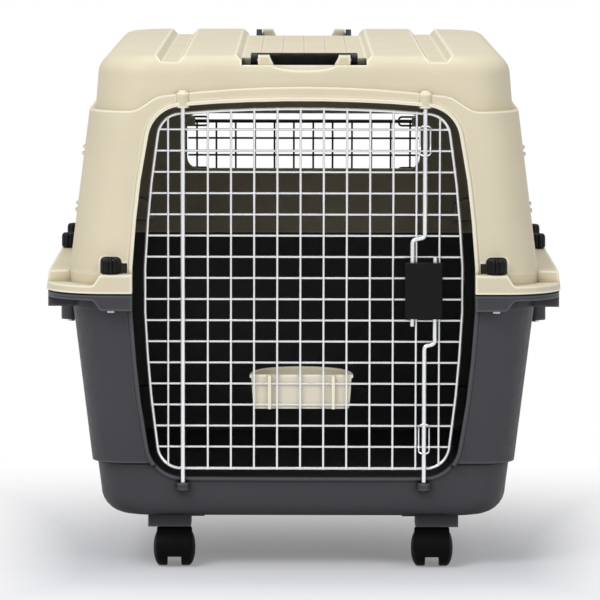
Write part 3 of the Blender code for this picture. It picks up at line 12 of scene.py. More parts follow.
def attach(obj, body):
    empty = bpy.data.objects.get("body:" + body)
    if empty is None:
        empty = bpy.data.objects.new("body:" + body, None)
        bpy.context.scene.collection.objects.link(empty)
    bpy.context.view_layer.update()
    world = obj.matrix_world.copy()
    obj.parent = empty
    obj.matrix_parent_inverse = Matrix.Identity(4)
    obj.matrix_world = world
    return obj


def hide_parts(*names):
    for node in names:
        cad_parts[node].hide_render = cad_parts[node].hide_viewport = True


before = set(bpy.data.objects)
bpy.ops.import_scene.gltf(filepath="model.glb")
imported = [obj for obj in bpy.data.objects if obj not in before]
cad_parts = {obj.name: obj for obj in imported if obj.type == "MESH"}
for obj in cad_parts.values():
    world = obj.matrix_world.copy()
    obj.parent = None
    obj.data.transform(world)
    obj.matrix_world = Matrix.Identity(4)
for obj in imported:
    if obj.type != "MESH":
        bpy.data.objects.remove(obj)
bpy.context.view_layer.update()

# Details finer than the solids
WIRE_OVERSHOOT = 0.0010
WELD_BLOB = 0.0021
KNOB_POINTS = 96
KNOB_FLUTES = 12
KNOB_FLUTE_DEPTH = 0.0016
TROUGH_SLOPE = 0.0060
REAR_SILL_RISE = 0.0165
HOOK_REACH = 0.025
HOOK_HALF_GAP = 0.0055
HOOK_BEND = 0.0045
HOOD_EDGE = 0.0006
GRIP_STEPS = 48
WHEEL_EASE = 0.0012
HUB_GROOVE = 0.0008
LATCH_CORNER = 0.0025
LATCH_FACE_CORNER = 0.0018
WELD_REACH = 0.00001

# Camera
CAMERA_LENS = 280.7
CAMERA_SENSOR = 36.0
CAMERA_REACH = 100.0
CAMERA_PLACE = (-0.004, -5.408, 0.7991)
CAMERA_TARGET = (-0.004, -0.400, 0.2991)
CAMERA_ROLL = math.radians(0.12)

# Finishes: painted highlights along outer edges, painted shade in creases and hollows, and how fast they vary
EDGE_REACH = 0.0045
EDGE_HIGHLIGHT_SPAN = (0.999, 0.97)
OUTER_SPAN = (0.70, 0.92)
CREASE_SHADE_SPAN = (0.45, 0.95)
NOISE_SPAN = (0.3, 0.7)
PATCH_SCALE = 14.0
WAVE_SCALE = 26.0
# Colours of the painted highlights along outer edges
CREAM_EDGE_HIGHLIGHT = (0.95, 0.90, 0.72)
GREY_EDGE_HIGHLIGHT = (0.085, 0.085, 0.094)
# Painted shade deep inside the shells: reach, darkest share, and the openness where it is darkest and where
# it ends
HOLLOW_SHADE = (0.45, 0.18, 0.15, 0.55)
# Painted shade in inner corners: reach of the openness that also keeps the painted highlights off them, and
# the darkest share on cream and on grey
CREASE_REACH = 0.007
CREAM_CREASE_SHADE = 0.90
GREY_CREASE_SHADE = 0.70

# Floor and light
FLOOR_HALF = 30.0
FLOOR_DROP = 0.0002
FLOOR_COLOUR = (0.79, 0.795, 0.835)
FLOOR_GLOW = 0.20
FADE_START_Y = -0.30
FADE_END_Y = 0.55
FRONT_GLOW = 0.55
FRONT_START_Y = -0.33
FRONT_END_Y = -0.60
SIDE_GLOW = 0.80
SIDE_START_X = 0.17
SIDE_END_X = 0.40
WORLD_COLOUR = (0.95, 0.97, 1.0, 1.0)
WORLD_LIGHT = 0.42
GLOSS_LIGHT = 0.58
LAMPS = (
    ("key", (-1.6, -2.4, 2.6), (0, 0, 0.35), 1.6, 51.0),
    ("fill", (1.9, -2.8, 1.7), (0, 0, 0.30), 1.8, 21.0),
    ("top", (0.0, 0.1, 2.7), (0, 0, 0.50), 1.6, 23.0),
)

# Overall crate, measured over the two flanges that meet at the seam
CRATE_LENGTH = 0.800
CRATE_WIDTH = 0.560
ROOF_Z = 0.560
BASE_BOTTOM_Z = 0.058
SEAM_Z = 0.305
WALL = 0.004
CLEARANCE = 0.0003
CUT = 0.010

# Plan shape of the shells, as insets from the flange edge
SIDE_LEDGE = 0.0251
END_LEDGE = 0.0127
DRAFT_SLOPE = 0.1217
FLANGE_CORNER = 0.066
WALL_CORNER = 0.055
CORNER_STEPS = 12
FILLET_STEPS = 7

# Top shell
LEDGE_Z = SEAM_Z + 0.0210
FLANGE_LEAN = 0.0025
FLANGE_CHAMFER = 0.0015
SADDLE_TOP_Z = SEAM_Z + 0.0085
SHOULDER_Z = ROOF_Z - 0.060
SHOULDER_STEP = 0.0062
UPPER_SLOPE = 0.080
ROOF_FILLET = 0.022
FASCIA_TOP_Z = SHOULDER_Z + 0.0265
FASCIA_FOOT_Z = SHOULDER_Z + 0.017
FASCIA_HALF = CRATE_WIDTH / 2 - 0.128
FASCIA_SWEEP = 0.036

# Base shell
RIM_Z = SEAM_Z - 0.0185
SADDLE_LOW_Z = SEAM_Z - 0.0075
RIM_INSET = 0.0015
BASE_STEP_Z = BASE_BOTTOM_Z + 0.058
BASE_STEP = 0.0055
BASE_RIM_INSET = 0.0036
BASE_SIDE_SLOPE = 0.122
BASE_END_SLOPE = 0.102
BASE_FILLET = 0.028
BASE_END_FILLET = 0.009
BASE_CORNER = 0.038
BASE_FOOT_CORNER = 0.028
RIM_SKIN = 0.003
REBATE_HEIGHT = 0.0016
REBATE_DEPTH = 0.0025

# Door opening with its raised lip
OPENING_HALF = CRATE_WIDTH / 2 - 0.093
OPENING_TOP_Z = SHOULDER_Z + 0.0117
OPENING_BOTTOM_Z = BASE_BOTTOM_Z + 0.0427
OPENING_CORNER = 0.038
DOOR_STEPS = 4
DOOR_BULGE = 1.6
OPENING_DROP = 0.0235
OPENING_TOP_SAG = 0.0085
OPENING_BOTTOM_SAG = -0.0006
BULGE_Z = SEAM_Z
LIP_WIDTH = 0.0045
LIP_PROUD = 0.0025
LIP_RETURN = 0.009

# Door: a welded wire grid with a hinge rod and two latch rods in front of it
DOOR_INSET = 0.0375
DOOR_Y = DOOR_INSET - CRATE_LENGTH / 2
DOOR_HALF = OPENING_HALF - 0.0133
DOOR_TOP_Z = OPENING_TOP_Z - 0.0089
DOOR_BOTTOM_Z = OPENING_BOTTOM_Z + 0.0099
DOOR_DROP = 0.0180
DOOR_TOP_SAG = 0.0070
DOOR_CORNER = 0.026
WIRE_RADIUS = 0.00125
FRAME_RADIUS = 0.00175
WELD_DEPTH = 0.0003
ROD_RADIUS = 0.0024
ROD_X = DOOR_HALF - 0.0427
GRID_FOOT = 0.0236
GRID_HEAD = 0.02285
GRID_SIDE = 0.0267
GRID_GAP = 0.0430
GRID_PITCH_Z = 0.02305
GRID_FIRST_Z = DOOR_BOTTOM_Z + GRID_FOOT
GRID_ROWS = 1 + round((DOOR_TOP_Z - GRID_HEAD - GRID_FIRST_Z) / GRID_PITCH_Z)
GRID_PITCH_X = 0.0251
EDGE_WIRE_X = GRID_SIDE - DOOR_HALF
GRID_COLUMNS = 1 + round((-2 * EDGE_WIRE_X - GRID_GAP) / GRID_PITCH_X)
GRID_FIRST_X = -EDGE_WIRE_X - GRID_PITCH_X * (GRID_COLUMNS - 1)

# Sockets for the rod ends, in bosses on both shells
SOCKET_RADIUS = 0.0070
SOCKET_BORE = 0.0028
TOP_SOCKET_LOW_Z = OPENING_TOP_Z - 0.0080
TOP_SOCKET_HIGH_Z = TOP_SOCKET_LOW_Z + 0.0188
BASE_SOCKET_HIGH_Z = OPENING_BOTTOM_Z - 0.0052
BASE_SOCKET_LOW_Z = BASE_SOCKET_HIGH_Z - 0.0110
SOCKET_DOME = 0.0035
SOCKET_DEPTH_TOP = 0.0125
SOCKET_DEPTH_BASE = 0.0080
TIP_CLEARANCE = 0.0008

# Latch on the door
LATCH_LOW = (ROD_X - 0.0213, SEAM_Z - 0.0295)
LATCH_HIGH = (ROD_X + 0.0193, SEAM_Z + 0.0313)
LATCH_DEPTH = 0.0125
LATCH_WALL = 0.0016
LATCH_RIB_Z = SEAM_Z + 0.0015
UPPER_GRIP_X = ROD_X - 0.0133
LOWER_GRIP_X = ROD_X + 0.0113
UPPER_KINK_Z = SEAM_Z + 0.0570
LOWER_KINK_Z = SEAM_Z - 0.0587
KINK_HEIGHT = 0.0026
KINK_EASE = 0.0040
UPPER_GRIP_END_Z = SEAM_Z - 0.0380
LOWER_GRIP_END_Z = SEAM_Z + 0.0380
COLLAR_RADIUS = 0.0040
COLLAR_HEIGHT = 0.0020
COLLAR_OFFSET = 0.0155
SPRING_WIRE = 0.0004
SPRING_RADIUS = 0.0033
SPRING_TURNS = 4
GUIDE_WIRE = 0.0009
GUIDE_HALF = 0.0056
GUIDE_HEIGHT = 0.032
UPPER_GUIDE_Z = DOOR_TOP_Z - 0.0343
LOWER_GUIDE_Z = DOOR_BOTTOM_Z + 0.0335

# Feed bowl hung on the door grid
BOWL_X = -0.0023
BOWL_HALF = 0.0562
BOWL_DEPTH = 0.082
BOWL_WIRE_ROW = 3
BOWL_RIM_Z = GRID_FIRST_Z + GRID_PITCH_Z * BOWL_WIRE_ROW + 0.00965
BOWL_BOTTOM_Z = BOWL_RIM_Z - 0.0372
BOWL_TAPER = 0.0020
BOWL_WALL = 0.0022
BOWL_RIM = 0.0018
HOOK_OFFSET = 0.0346
HOOK_WIDTH = 0.0032
HOOK_THICKNESS = 0.0024
HOOK_HEAD = 0.002
HOOK_EASE = 0.0006
BOWL_FOOT_EASE = 0.002

# Carry handles in wells at both ends of the roof
NOTCH_HALF = 0.0677
SCOOP_HALF = 0.034
SCOOP_DEPTH = 0.0036
SCOOP_RISE = 0.0066
NOTCH_SILL_Z = ROOF_Z - 0.0107
TROUGH_Z = ROOF_Z - 0.0060
WELL_FLOOR_Z = ROOF_Z - 0.0320
WELL_START = 0.0511
WELL_END = 0.1180
LINE_PITCH = 0.024
LINE_WIDTH = 0.0010
LINE_DEPTH = 0.0004
POST_INNER = 0.0367
POST_OUTER = 0.0500
POST_FOOT = 0.0330
POST_TOP_Z = ROOF_Z - 0.0005
POST_DEPTH = 0.0190
POST_EASE = 0.001
PIVOT_INSET = 0.0640
PIVOT_Z = ROOF_Z - 0.0068
PIN_BORE = 0.0026
ARM_THICKNESS = 0.0067
ARM_RADIUS = 0.0062
ARM_LENGTH = 0.0380
GRIP_WAVE = 0.0010
GRIP_DEPTH = 0.0120
GRIP_HALF_HEIGHT = 0.0068
GRIP_CORNER = 0.0035
ARM_GAP = 0.0012
REAR_HANDLE_DROP = math.radians(13)

# Roof grooves
GROOVE_X = CRATE_WIDTH / 2 - 0.135
GROOVE_TOP_HALF = 0.0155
GROOVE_FLOOR_HALF = 0.0095
GROOVE_DEPTH = 0.0075

# Clamp knobs and bolts round the flange
KNOB_RADIUS = 0.01075
KNOB_HEIGHT = 0.0162
KNOB_BASE_Z = LEDGE_Z + CLEARANCE * 2
KNOB_PAD_RADIUS = 0.0112
END_KNOB_X = CRATE_WIDTH / 2 - 0.072
END_KNOB_INSET = 0.0112
SIDE_KNOB_Y = 0.065
SIDE_KNOB_INSET = 0.0137
POCKET_MARGIN = 0.0006
POCKET_TOP_Z = KNOB_BASE_Z + KNOB_HEIGHT + 0.0008
POCKET_CORNER = 0.0050
RECESS_REACH = 0.0175
RECESS_HEIGHT = 0.0105
BOLT_BORE = 0.0034
KNOB_BLOCK_HALF = 0.021
SADDLE_START = END_KNOB_X + 0.009
SADDLE_RAMP = 0.012
SADDLE_BACK = 0.056
RAMP_STEPS = 14
SIDE_BOSS_RADIUS = 0.0115
SIDE_BOSS_LOW_Z = RIM_Z - 0.0425

# Ventilation windows with wire grilles
WINDOW_Z = SHOULDER_Z - 0.0880
REAR_WINDOW_HALF = CRATE_WIDTH / 2 - 0.136
SIDE_WINDOW_HALF = CRATE_LENGTH / 2 - 0.240
WINDOW_HALF_HEIGHT = 0.0430
WINDOW_CORNER = 0.014
GRILLE_FRAME_RADIUS = 0.0022
GRILLE_WIRE_RADIUS = 0.00125
GRILLE_MARGIN = 0.011
GRILLE_STAND_OFF = 0.0030
REAR_GRILLE_ROWS = 4
SIDE_GRILLE_ROWS = 4
REAR_GRILLE_PITCH = 0.024
SIDE_GRILLE_PITCH = 0.030
CLIP_WIDTH = 0.0100
CLIP_HEIGHT = 0.0110

# Castors
CASTOR_X = CRATE_WIDTH / 2 - 0.1390
CASTOR_INSET = 0.0830
TRAIL = 0.0140
WHEEL_RADIUS = 0.0200
WHEEL_OUTER = 0.0230
WHEEL_INNER = 0.0076
WHEEL_TREAD = 0.0155
WHEEL_FACE_RADIUS = 0.0125
AXLE_BORE = 0.0028
HOOD_GAP = 0.0007
HOOD_SKIN = 0.0021
HOOD_HALF = 0.0185
HOOD_SWEEP = (-20, 165)
WEB_HALF = 0.0062
STEM_RADIUS = 0.0050
STEM_BORE = 0.0054
BLOCK_OUTER = CASTOR_X + 0.0286
BLOCK_INNER = CASTOR_X - 0.0182
BLOCK_HALF_Y = 0.0210
BLOCK_LOW_Z = BASE_BOTTOM_Z - 0.0146
PLATE_INNER = CASTOR_X - 0.0330
PLATE_THICKNESS = 0.0030
PLATE_LOW_Z = BASE_BOTTOM_Z - CLEARANCE * 3 - PLATE_THICKNESS
PLATE_HALF_Y = 0.0170

HALF_X = CRATE_WIDTH / 2
HALF_Y = CRATE_LENGTH / 2


# Basic shapes


def add_object(name, data):
    """Put new data into the scene as an object."""
    item = bpy.data.objects.new(name, data)
    bpy.context.scene.collection.objects.link(item)
    return item


def object_from(bm, name="shape"):
    """Turn a bmesh into an object with its faces pointing out."""
    bmesh.ops.recalc_face_normals(bm, faces=bm.faces)
    mesh = bpy.data.meshes.new(name)
    bm.to_mesh(mesh)
    bm.free()
    return add_object(name, mesh)


def box(first, second):
    """Make a box between two opposite corners."""
    low = Vector([min(pair) for pair in zip(first, second)])
    high = Vector([max(pair) for pair in zip(first, second)])
    bm = bmesh.new()
    bmesh.ops.create_cube(bm, size=1.0)
    bmesh.ops.scale(bm, vec=high - low, verts=bm.verts)
    bmesh.ops.translate(bm, vec=(low + high) / 2, verts=bm.verts)
    return object_from(bm)


def cylinder(start, end, radius, sides=32, end_radius=None):
    """Make a cylinder, or a cone frustum, between two points."""
    start, end = Vector(start), Vector(end)
    run = end - start
    bm = bmesh.new()
    bmesh.ops.create_cone(bm, cap_ends=True, segments=sides, radius1=radius,
                          radius2=radius if end_radius is None else end_radius, depth=run.length)
    turn = run.to_track_quat("Z", "Y").to_matrix()
    bmesh.ops.rotate(bm, cent=(0, 0, 0), matrix=turn, verts=bm.verts)
    bmesh.ops.translate(bm, vec=(start + end) / 2, verts=bm.verts)
    return object_from(bm)


def upright(x, y, start_z, end_z, radius, sides=32, end_radius=None):
    """Make a cylinder or cone frustum that stands at a place in plan."""
    return cylinder((x, y, start_z), (x, y, end_z), radius, sides, end_radius)


def crossbar(start_x, end_x, y, z, radius, sides):
    """Make a cylinder that lies across the crate."""
    return cylinder((start_x, y, z), (end_x, y, z), radius, sides)


def prism(outline, plane, start, end):
    """Extrude a flat outline, drawn in the XZ or YZ plane, between two places across it."""
    low, high = sorted((start, end))
    across = Vector((0, 1, 0)) if plane == "XZ" else Vector((1, 0, 0))
    bm = bmesh.new()
    face = bm.faces.new([bm.verts.new((a, low, b) if plane == "XZ" else (low, a, b)) for a, b in outline])
    grown = bmesh.ops.extrude_face_region(bm, geom=[face])
    moved = [part for part in grown["geom"] if isinstance(part, bmesh.types.BMVert)]
    bmesh.ops.translate(bm, vec=across * (high - low), verts=moved)
    return object_from(bm)


def loft(rings, closed=False):
    """Skin rings that have equal point counts; cap both ends, or join the last to the first."""
    bm = bmesh.new()
    rows = [[bm.verts.new(point) for point in ring] for ring in rings]
    pairs = list(zip(rows, rows[1:]))
    if closed:
        pairs.append((rows[-1], rows[0]))
    for lower, upper in pairs:
        for index, vert in enumerate(lower):
            following = (index + 1) % len(lower)
            bm.faces.new((vert, lower[following], upper[following], upper[index]))
    if not closed:
        bm.faces.new(rows[0])
        bm.faces.new(rows[-1])
    return object_from(bm)


def tube(points, radius, resolution, cyclic=False):
    """Make a round wire along points as a welded mesh."""
    curve = bpy.data.curves.new("wire", "CURVE")
    curve.dimensions = "3D"
    curve.bevel_depth = radius
    curve.bevel_resolution = resolution
    curve.use_fill_caps = not cyclic
    spline = curve.splines.new("POLY")
    spline.points.add(len(points) - 1)
    for target, point in zip(spline.points, points):
        target.co = (*point, 1.0)
    spline.use_cyclic_u = cyclic
    item = add_object("wire", curve)
    mesh = evaluated_mesh(item)
    bpy.data.objects.remove(item)
    bm = bmesh.new()
    bm.from_mesh(mesh)
    bmesh.ops.remove_doubles(bm, verts=bm.verts, dist=WELD_REACH)
    return object_from(bm)


def turned(profile, centre, axis_turn, sides):
    """Turn a profile of (radius, height) points about local Z, then lay it on its axis."""
    bm = bmesh.new()
    verts = [bm.verts.new((radius, 0, height)) for radius, height in profile]
    edges = [bm.edges.new(pair) for pair in zip(verts, verts[1:])]
    bmesh.ops.spin(bm, geom=verts + edges, axis=(0, 0, 1), cent=(0, 0, 0),
                   angle=2 * math.pi, steps=sides, use_merge=True)
    bmesh.ops.remove_doubles(bm, verts=bm.verts, dist=WELD_REACH)
    bmesh.ops.transform(bm, matrix=Matrix.Translation(centre) @ axis_turn, verts=bm.verts)
    return object_from(bm)


def merged(items):
    """Put shapes that stay apart into one object, ready for one Boolean."""
    bm = bmesh.new()
    for item in items:
        bm.from_mesh(item.data)
        bpy.data.objects.remove(item)
    return object_from(bm)


def both_sides(make):
    """Make a shape for the left (-1) and for the right (+1), as one object."""
    return merged([make(side) for side in (-1, 1)])


def moved_by(item, matrix):
    """Move a shape's mesh by a matrix."""
    bm = bmesh.new()
    bm.from_mesh(item.data)
    bmesh.ops.transform(bm, matrix=matrix, verts=bm.verts)
    bpy.data.objects.remove(item)
    return object_from(bm)


# Joining and cutting


def evaluated_mesh(item):
    """Mesh of an object with its modifiers applied."""
    bpy.context.view_layer.update()
    graph = bpy.context.evaluated_depsgraph_get()
    return bpy.data.meshes.new_from_object(item.evaluated_get(graph))


def combine(target, tool, operation):
    """Join, cut or intersect target with tool, and remove the tool."""
    modifier = target.modifiers.new(operation.lower(), "BOOLEAN")
    modifier.operation = operation
    modifier.solver = "EXACT"
    modifier.object = tool
    mesh = evaluated_mesh(target)
    target.modifiers.clear()
    target.data = mesh
    bpy.data.objects.remove(tool)
    return target


def cut(target, tool):
    return combine(target, tool, "DIFFERENCE")


def join(target, tool):
    return combine(target, tool, "UNION")


def intersect(target, tool):
    return combine(target, tool, "INTERSECT")


def smooth_outline(points, rounds):
    """Round off a closed outline by cutting its corners."""
    for _ in range(rounds):
        cornered = []
        for first, last in zip(points, points[1:] + points[:1]):
            for share in (0.25, 0.75):
                cornered.append(tuple(a + (b - a) * share for a, b in zip(first, last)))
        points = cornered
    return points


# Materials


def fill(tree, node, inputs):
    """Set a node's inputs, and link those that are given a socket."""
    for name, value in inputs.items():
        if isinstance(value, bpy.types.NodeSocket):
            tree.links.new(value, node.inputs[name])
        else:
            node.inputs[name].default_value = value
    return node


def add_node(tree, kind, inputs, **settings):
    """Add a shader node with its settings and inputs."""
    node = tree.nodes.new("ShaderNode" + kind)
    for name, value in settings.items():
        setattr(node, name, value)
    return fill(tree, node, inputs)


def in_range(tree, value, start, end, low=0.0, high=1.0, kind="LINEAR"):
    """Socket that goes from low to high while the value goes from start to end."""
    span = {"Value": value, "From Min": start, "From Max": end, "To Min": low, "To Max": high}
    return add_node(tree, "MapRange", span, interpolation_type=kind).outputs["Result"]


def maths(tree, operation, *values):
    """Socket with the result of an operation on one or two values."""
    return add_node(tree, "Math", dict(enumerate(values)), operation=operation).outputs[0]


def mixed(tree, share, first, second, blend="MIX"):
    """Socket with the blend of two colours."""
    colours = {"Factor": share, "A": first, "B": second}
    return add_node(tree, "Mix", colours, data_type="RGBA", blend_type=blend).outputs["Result"]


def openness(tree, reach):
    """Socket with the share that no wall closer than the reach shuts out."""
    return add_node(tree, "AmbientOcclusion", {"Distance": reach}, samples=12).outputs["AO"]


def noise(tree, scale, detail, low, high):
    """Socket with a noise field in object space, remapped to a range."""
    place = tree.nodes.get("place") or add_node(tree, "TexCoord", {}, name="place")
    field = add_node(tree, "TexNoise", {"Vector": place.outputs["Object"], "Scale": scale, "Detail": detail})
    return in_range(tree, field.outputs["Fac"], *NOISE_SPAN, low, high)


def edge_highlight_and_crease_shade(tree, tint, painted_edges, crease_shade):
    """Return the tint with a painted highlight along outer edges and painted shade in inner corners."""
    # The highlight is painted where the rounded normal turns away from the surface's own, and kept off inner
    # corners; the shade is painted where the sky closes in
    surface = add_node(tree, "NewGeometry", {})
    rounded = add_node(tree, "Bevel", {"Radius": EDGE_REACH}, samples=8)
    normals = {0: rounded.outputs["Normal"], 1: surface.outputs["Normal"]}
    agree = add_node(tree, "VectorMath", normals, operation="DOT_PRODUCT")
    sky = openness(tree, CREASE_REACH)
    edge_highlight_mask = in_range(tree, agree.outputs["Value"], *EDGE_HIGHLIGHT_SPAN)
    share = maths(tree, "MULTIPLY", edge_highlight_mask, in_range(tree, sky, *OUTER_SPAN))
    return darkened(tree, mixed(tree, share, tint, (*painted_edges, 1.0)), sky, crease_shade, *CREASE_SHADE_SPAN)


def darkened(tree, tint, sky, floor_share, closed, clear):
    """Return the tint times a share that falls as the sky closes in: painted shade."""
    return mixed(tree, 1.0, tint, in_range(tree, sky, closed, clear, floor_share), "MULTIPLY")


def new_material(name):
    """A new material with its node tree and its shader."""
    mat = bpy.data.materials.new(name)
    mat.use_nodes = True
    return mat, mat.node_tree, mat.node_tree.nodes["Principled BSDF"]


def make_look(name, colour, roughness, metallic=0.0, specular=0.5, spread=0.03, edge=0.0,
              grain=0.0, grain_scale=1600.0, wave=0.0, painted_edges=None, hollow_shade=None):
    """A finish that varies a little, with softened edges, painted highlights along outer edges and painted
    shade in creases and inside.
    """
    mat, tree, shader = new_material(name)
    duller = (*[max(0.0, c * (1 - spread)) for c in colour], 1.0)
    brighter = (*[min(1.0, c * (1 + spread)) for c in colour], 1.0)
    tint = mixed(tree, noise(tree, PATCH_SCALE, 4.0, 0.0, 1.0), duller, brighter)
    # Painted highlights along outer edges and painted shade in inner corners
    if painted_edges:
        tint = edge_highlight_and_crease_shade(tree, tint, *painted_edges)
    # Painted shade that darkens the deep hollows inside
    if hollow_shade:
        reach, *shares = hollow_shade
        tint = darkened(tree, tint, openness(tree, reach), *shares)
    uneven = noise(tree, PATCH_SCALE * 9, 3.0, roughness * 0.88, roughness * 1.12)
    fill(tree, shader, {"Base Color": tint, "Roughness": uneven, "Metallic": metallic,
                        "Specular IOR Level": specular})
    normal = None
    if edge:
        normal = add_node(tree, "Bevel", {"Radius": edge}, samples=6).outputs["Normal"]
    for scale, height in ((grain_scale, grain), (WAVE_SCALE, wave)):
        if not height:
            continue
        bump = add_node(tree, "Bump", {"Distance": height, "Strength": 1.0,
                                       "Height": noise(tree, scale, 2.0, 0.0, 1.0)})
        if normal:
            fill(tree, bump, {"Normal": normal})
        normal = bump.outputs["Normal"]
    if normal:
        fill(tree, shader, {"Normal": normal})
    return mat


CREAM = make_look("cream_moulding", (0.725, 0.645, 0.465), 0.46, grain=0.00006, edge=0.0012,
                  wave=0.0004, specular=0.4, painted_edges=(CREAM_EDGE_HIGHLIGHT, CREAM_CREASE_SHADE), hollow_shade=HOLLOW_SHADE)
CREAM_BOWL = make_look("cream_bowl", (0.78, 0.71, 0.56), 0.38, grain=0.00003, edge=0.0006,
                       painted_edges=(CREAM_EDGE_HIGHLIGHT, CREAM_CREASE_SHADE))
GREY = make_look("grey_moulding", (0.044, 0.044, 0.050), 0.50, grain=0.00007, edge=0.0012,
                 wave=0.0004, spread=0.05, specular=0.4, painted_edges=(GREY_EDGE_HIGHLIGHT, GREY_CREASE_SHADE), hollow_shade=HOLLOW_SHADE)
BLACK = make_look("black_nylon", (0.0065, 0.0065, 0.007), 0.42, grain=0.00004, edge=0.0004, spread=0.12,
                  specular=0.14)
NUT = make_look("glossy_black_nylon", (0.003, 0.003, 0.0035), 0.34, grain=0.00002, spread=0.10, specular=0.22)
TYRE = make_look("castor_nylon", (0.0035, 0.0035, 0.004), 0.50, grain=0.00005, edge=0.0003, spread=0.15,
                 specular=0.06)
# Grille wires painted near-black: painted shade for wires seen dark against the bright windows
SHADED_VENT_WIRE = make_look("shaded_vent_wire", (0.012, 0.012, 0.012), 0.42, grain=0.00001, spread=0.10, specular=0.3)
ZINC = make_look("zinc_wire", (0.96, 0.965, 0.97), 0.24, metallic=0.75, grain=0.00001, grain_scale=2600.0)
STEEL = make_look("drawn_steel", (0.56, 0.56, 0.57), 0.28, metallic=1.0, grain=0.00001, edge=0.0003)


def show(item, name, body, look, node, angle):
    """Name a finished piece, give it its look, seat it on its body and hide the solid it stands for."""
    mesh = item.data
    mesh.materials.clear()
    mesh.materials.append(look)
    mesh.shade_smooth()
    mesh.set_sharp_from_angle(angle=math.radians(angle))
    item.name = name
    mesh.name = name
    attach(item, body)
    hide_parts(node)


def bead(centre, radius, squash_y):
    """A small round blob, such as a weld."""
    bm = bmesh.new()
    bmesh.ops.create_icosphere(bm, subdivisions=2, radius=radius)
    bmesh.ops.scale(bm, vec=(1, squash_y, 1), verts=bm.verts)
    bmesh.ops.translate(bm, vec=centre, verts=bm.verts)
    return object_from(bm)


def dress_node(name, look):
    """Give a solid that stays in view its finish."""
    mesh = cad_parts[name].data
    mesh.materials.clear()
    mesh.materials.append(look)


# Outlines


def arc(centre_a, centre_b, radius, start, end, steps):
    """Points on an arc, with angles in degrees."""
    points = []
    for step in range(steps + 1):
        angle = math.radians(start + (end - start) * step / steps)
        points.append((centre_a + radius * math.cos(angle), centre_b + radius * math.sin(angle)))
    return points


def rounded_rectangle(half_a, half_b, radius, steps, centre=(0, 0)):
    """Anticlockwise outline of a rectangle with round corners."""
    outline = []
    for quarter, (side_a, side_b) in enumerate(((1, 1), (-1, 1), (-1, -1), (1, -1))):
        outline += arc(centre[0] + side_a * (half_a - radius), centre[1] + side_b * (half_b - radius),
                       radius, 90 * quarter, 90 * quarter + 90, steps)
    return outline


def round_corners(corners, steps):
    """Replace each (a, b, radius) corner that has a radius by an arc tangent to both its edges."""
    outline = []
    count = len(corners)
    for index, (*point, radius) in enumerate(corners):
        corner = Vector(point)
        if not radius:
            outline.append(tuple(corner))
            continue
        back = (Vector(corners[index - 1][:2]) - corner).normalized()
        ahead = (Vector(corners[(index + 1) % count][:2]) - corner).normalized()
        half = back.angle(ahead) / 2
        reach = radius / math.tan(half)
        centre = corner + (back + ahead).normalized() * radius / math.sin(half)
        first = corner + back * reach - centre
        last = corner + ahead * reach - centre
        sweep = first.angle_signed(last)
        for step in range(steps + 1):
            turn = Matrix.Rotation(-sweep * step / steps, 2)
            outline.append(tuple(centre + turn @ first))
    return outline


def door_shape(half, drop, top_z, bottom_z, top_sag, bottom_sag, corner):
    """Outline of the doorway or the door in XZ: widest at the seam, with a slightly arched top."""
    reach = (top_z - bottom_z) / 2

    def half_at(z):
        return half - drop * (abs(z - BULGE_Z) / reach) ** DOOR_BULGE

    def arch(z, sag):
        end = half_at(z)
        places = [end * (1 - 2 * step / DOOR_STEPS) for step in range(1, DOOR_STEPS)]
        return [(x, z - sag * (x / end) ** 2, 0.0) for x in places]

    side = []
    for step in range(DOOR_STEPS + 1):
        z = bottom_z + (top_z - bottom_z) * step / DOOR_STEPS
        sag, radius = {0: (bottom_sag, corner), DOOR_STEPS: (top_sag, corner)}.get(step, (0.0, 0.0))
        side.append((half_at(z), z - sag, radius))
    corners = side + arch(top_z, top_sag) + [(-x, z, radius) for x, z, radius in reversed(side)]
    corners += arch(bottom_z, bottom_sag)[::-1]
    return smooth_outline(round_corners(corners, 8), 1)


def opening_shape():
    return door_shape(OPENING_HALF, OPENING_DROP, OPENING_TOP_Z, OPENING_BOTTOM_Z,
                      OPENING_TOP_SAG, OPENING_BOTTOM_SAG, OPENING_CORNER)


def frame_shape():
    return door_shape(DOOR_HALF, DOOR_DROP, DOOR_TOP_Z, DOOR_BOTTOM_Z, DOOR_TOP_SAG, 0.0, DOOR_CORNER)


# Shells


def shell_ring(side_inset, end_inset, corner, z):
    """One level of a shell in plan."""
    outline = rounded_rectangle(HALF_X - side_inset, HALF_Y - end_inset, corner, CORNER_STEPS)
    return [(x, y, z) for x, y in outline]


def shell_body(levels):
    """Body with a shell's plan, from levels of (side inset, end inset, corner, z)."""
    return loft([shell_ring(*level) for level in levels])


def shell_column(side_inset, end_inset, corner, low_z, high_z, lean=0):
    """Body with the same plan from low to high, or one that leans in at the sides."""
    return shell_body([(side_inset, end_inset, corner, low_z),
                       (side_inset + lean, end_inset, corner, high_z)])


def fillet_levels(side, end, corner, z, radius):
    """Levels that turn a wall at height z inwards into a flat face above it."""
    levels = []
    for step in range(FILLET_STEPS + 1):
        angle = math.radians(90 * step / FILLET_STEPS)
        inward = radius * (1 - math.cos(angle))
        levels.append((side + inward, end + inward, corner, z + radius * math.sin(angle)))
    return levels


def upper_insets(extra=0.0):
    """Side and end insets of the top shell just above its shoulder."""
    return [top_wall_inset(ledge, SHOULDER_Z) + SHOULDER_STEP + extra for ledge in (SIDE_LEDGE, END_LEDGE)]


def roof_levels(wall):
    """Levels of the rounded eaves, up to the roof; wall moves them in by the wall thickness."""
    eaves = ROOF_Z - ROOF_FILLET
    lean = UPPER_SLOPE * (eaves - SHOULDER_Z)
    side, end = upper_insets(wall)
    return fillet_levels(side + lean, end + lean, WALL_CORNER - wall, eaves, ROOF_FILLET - wall)


def top_wall_inset(ledge, z):
    return ledge + DRAFT_SLOPE * (z - LEDGE_Z)


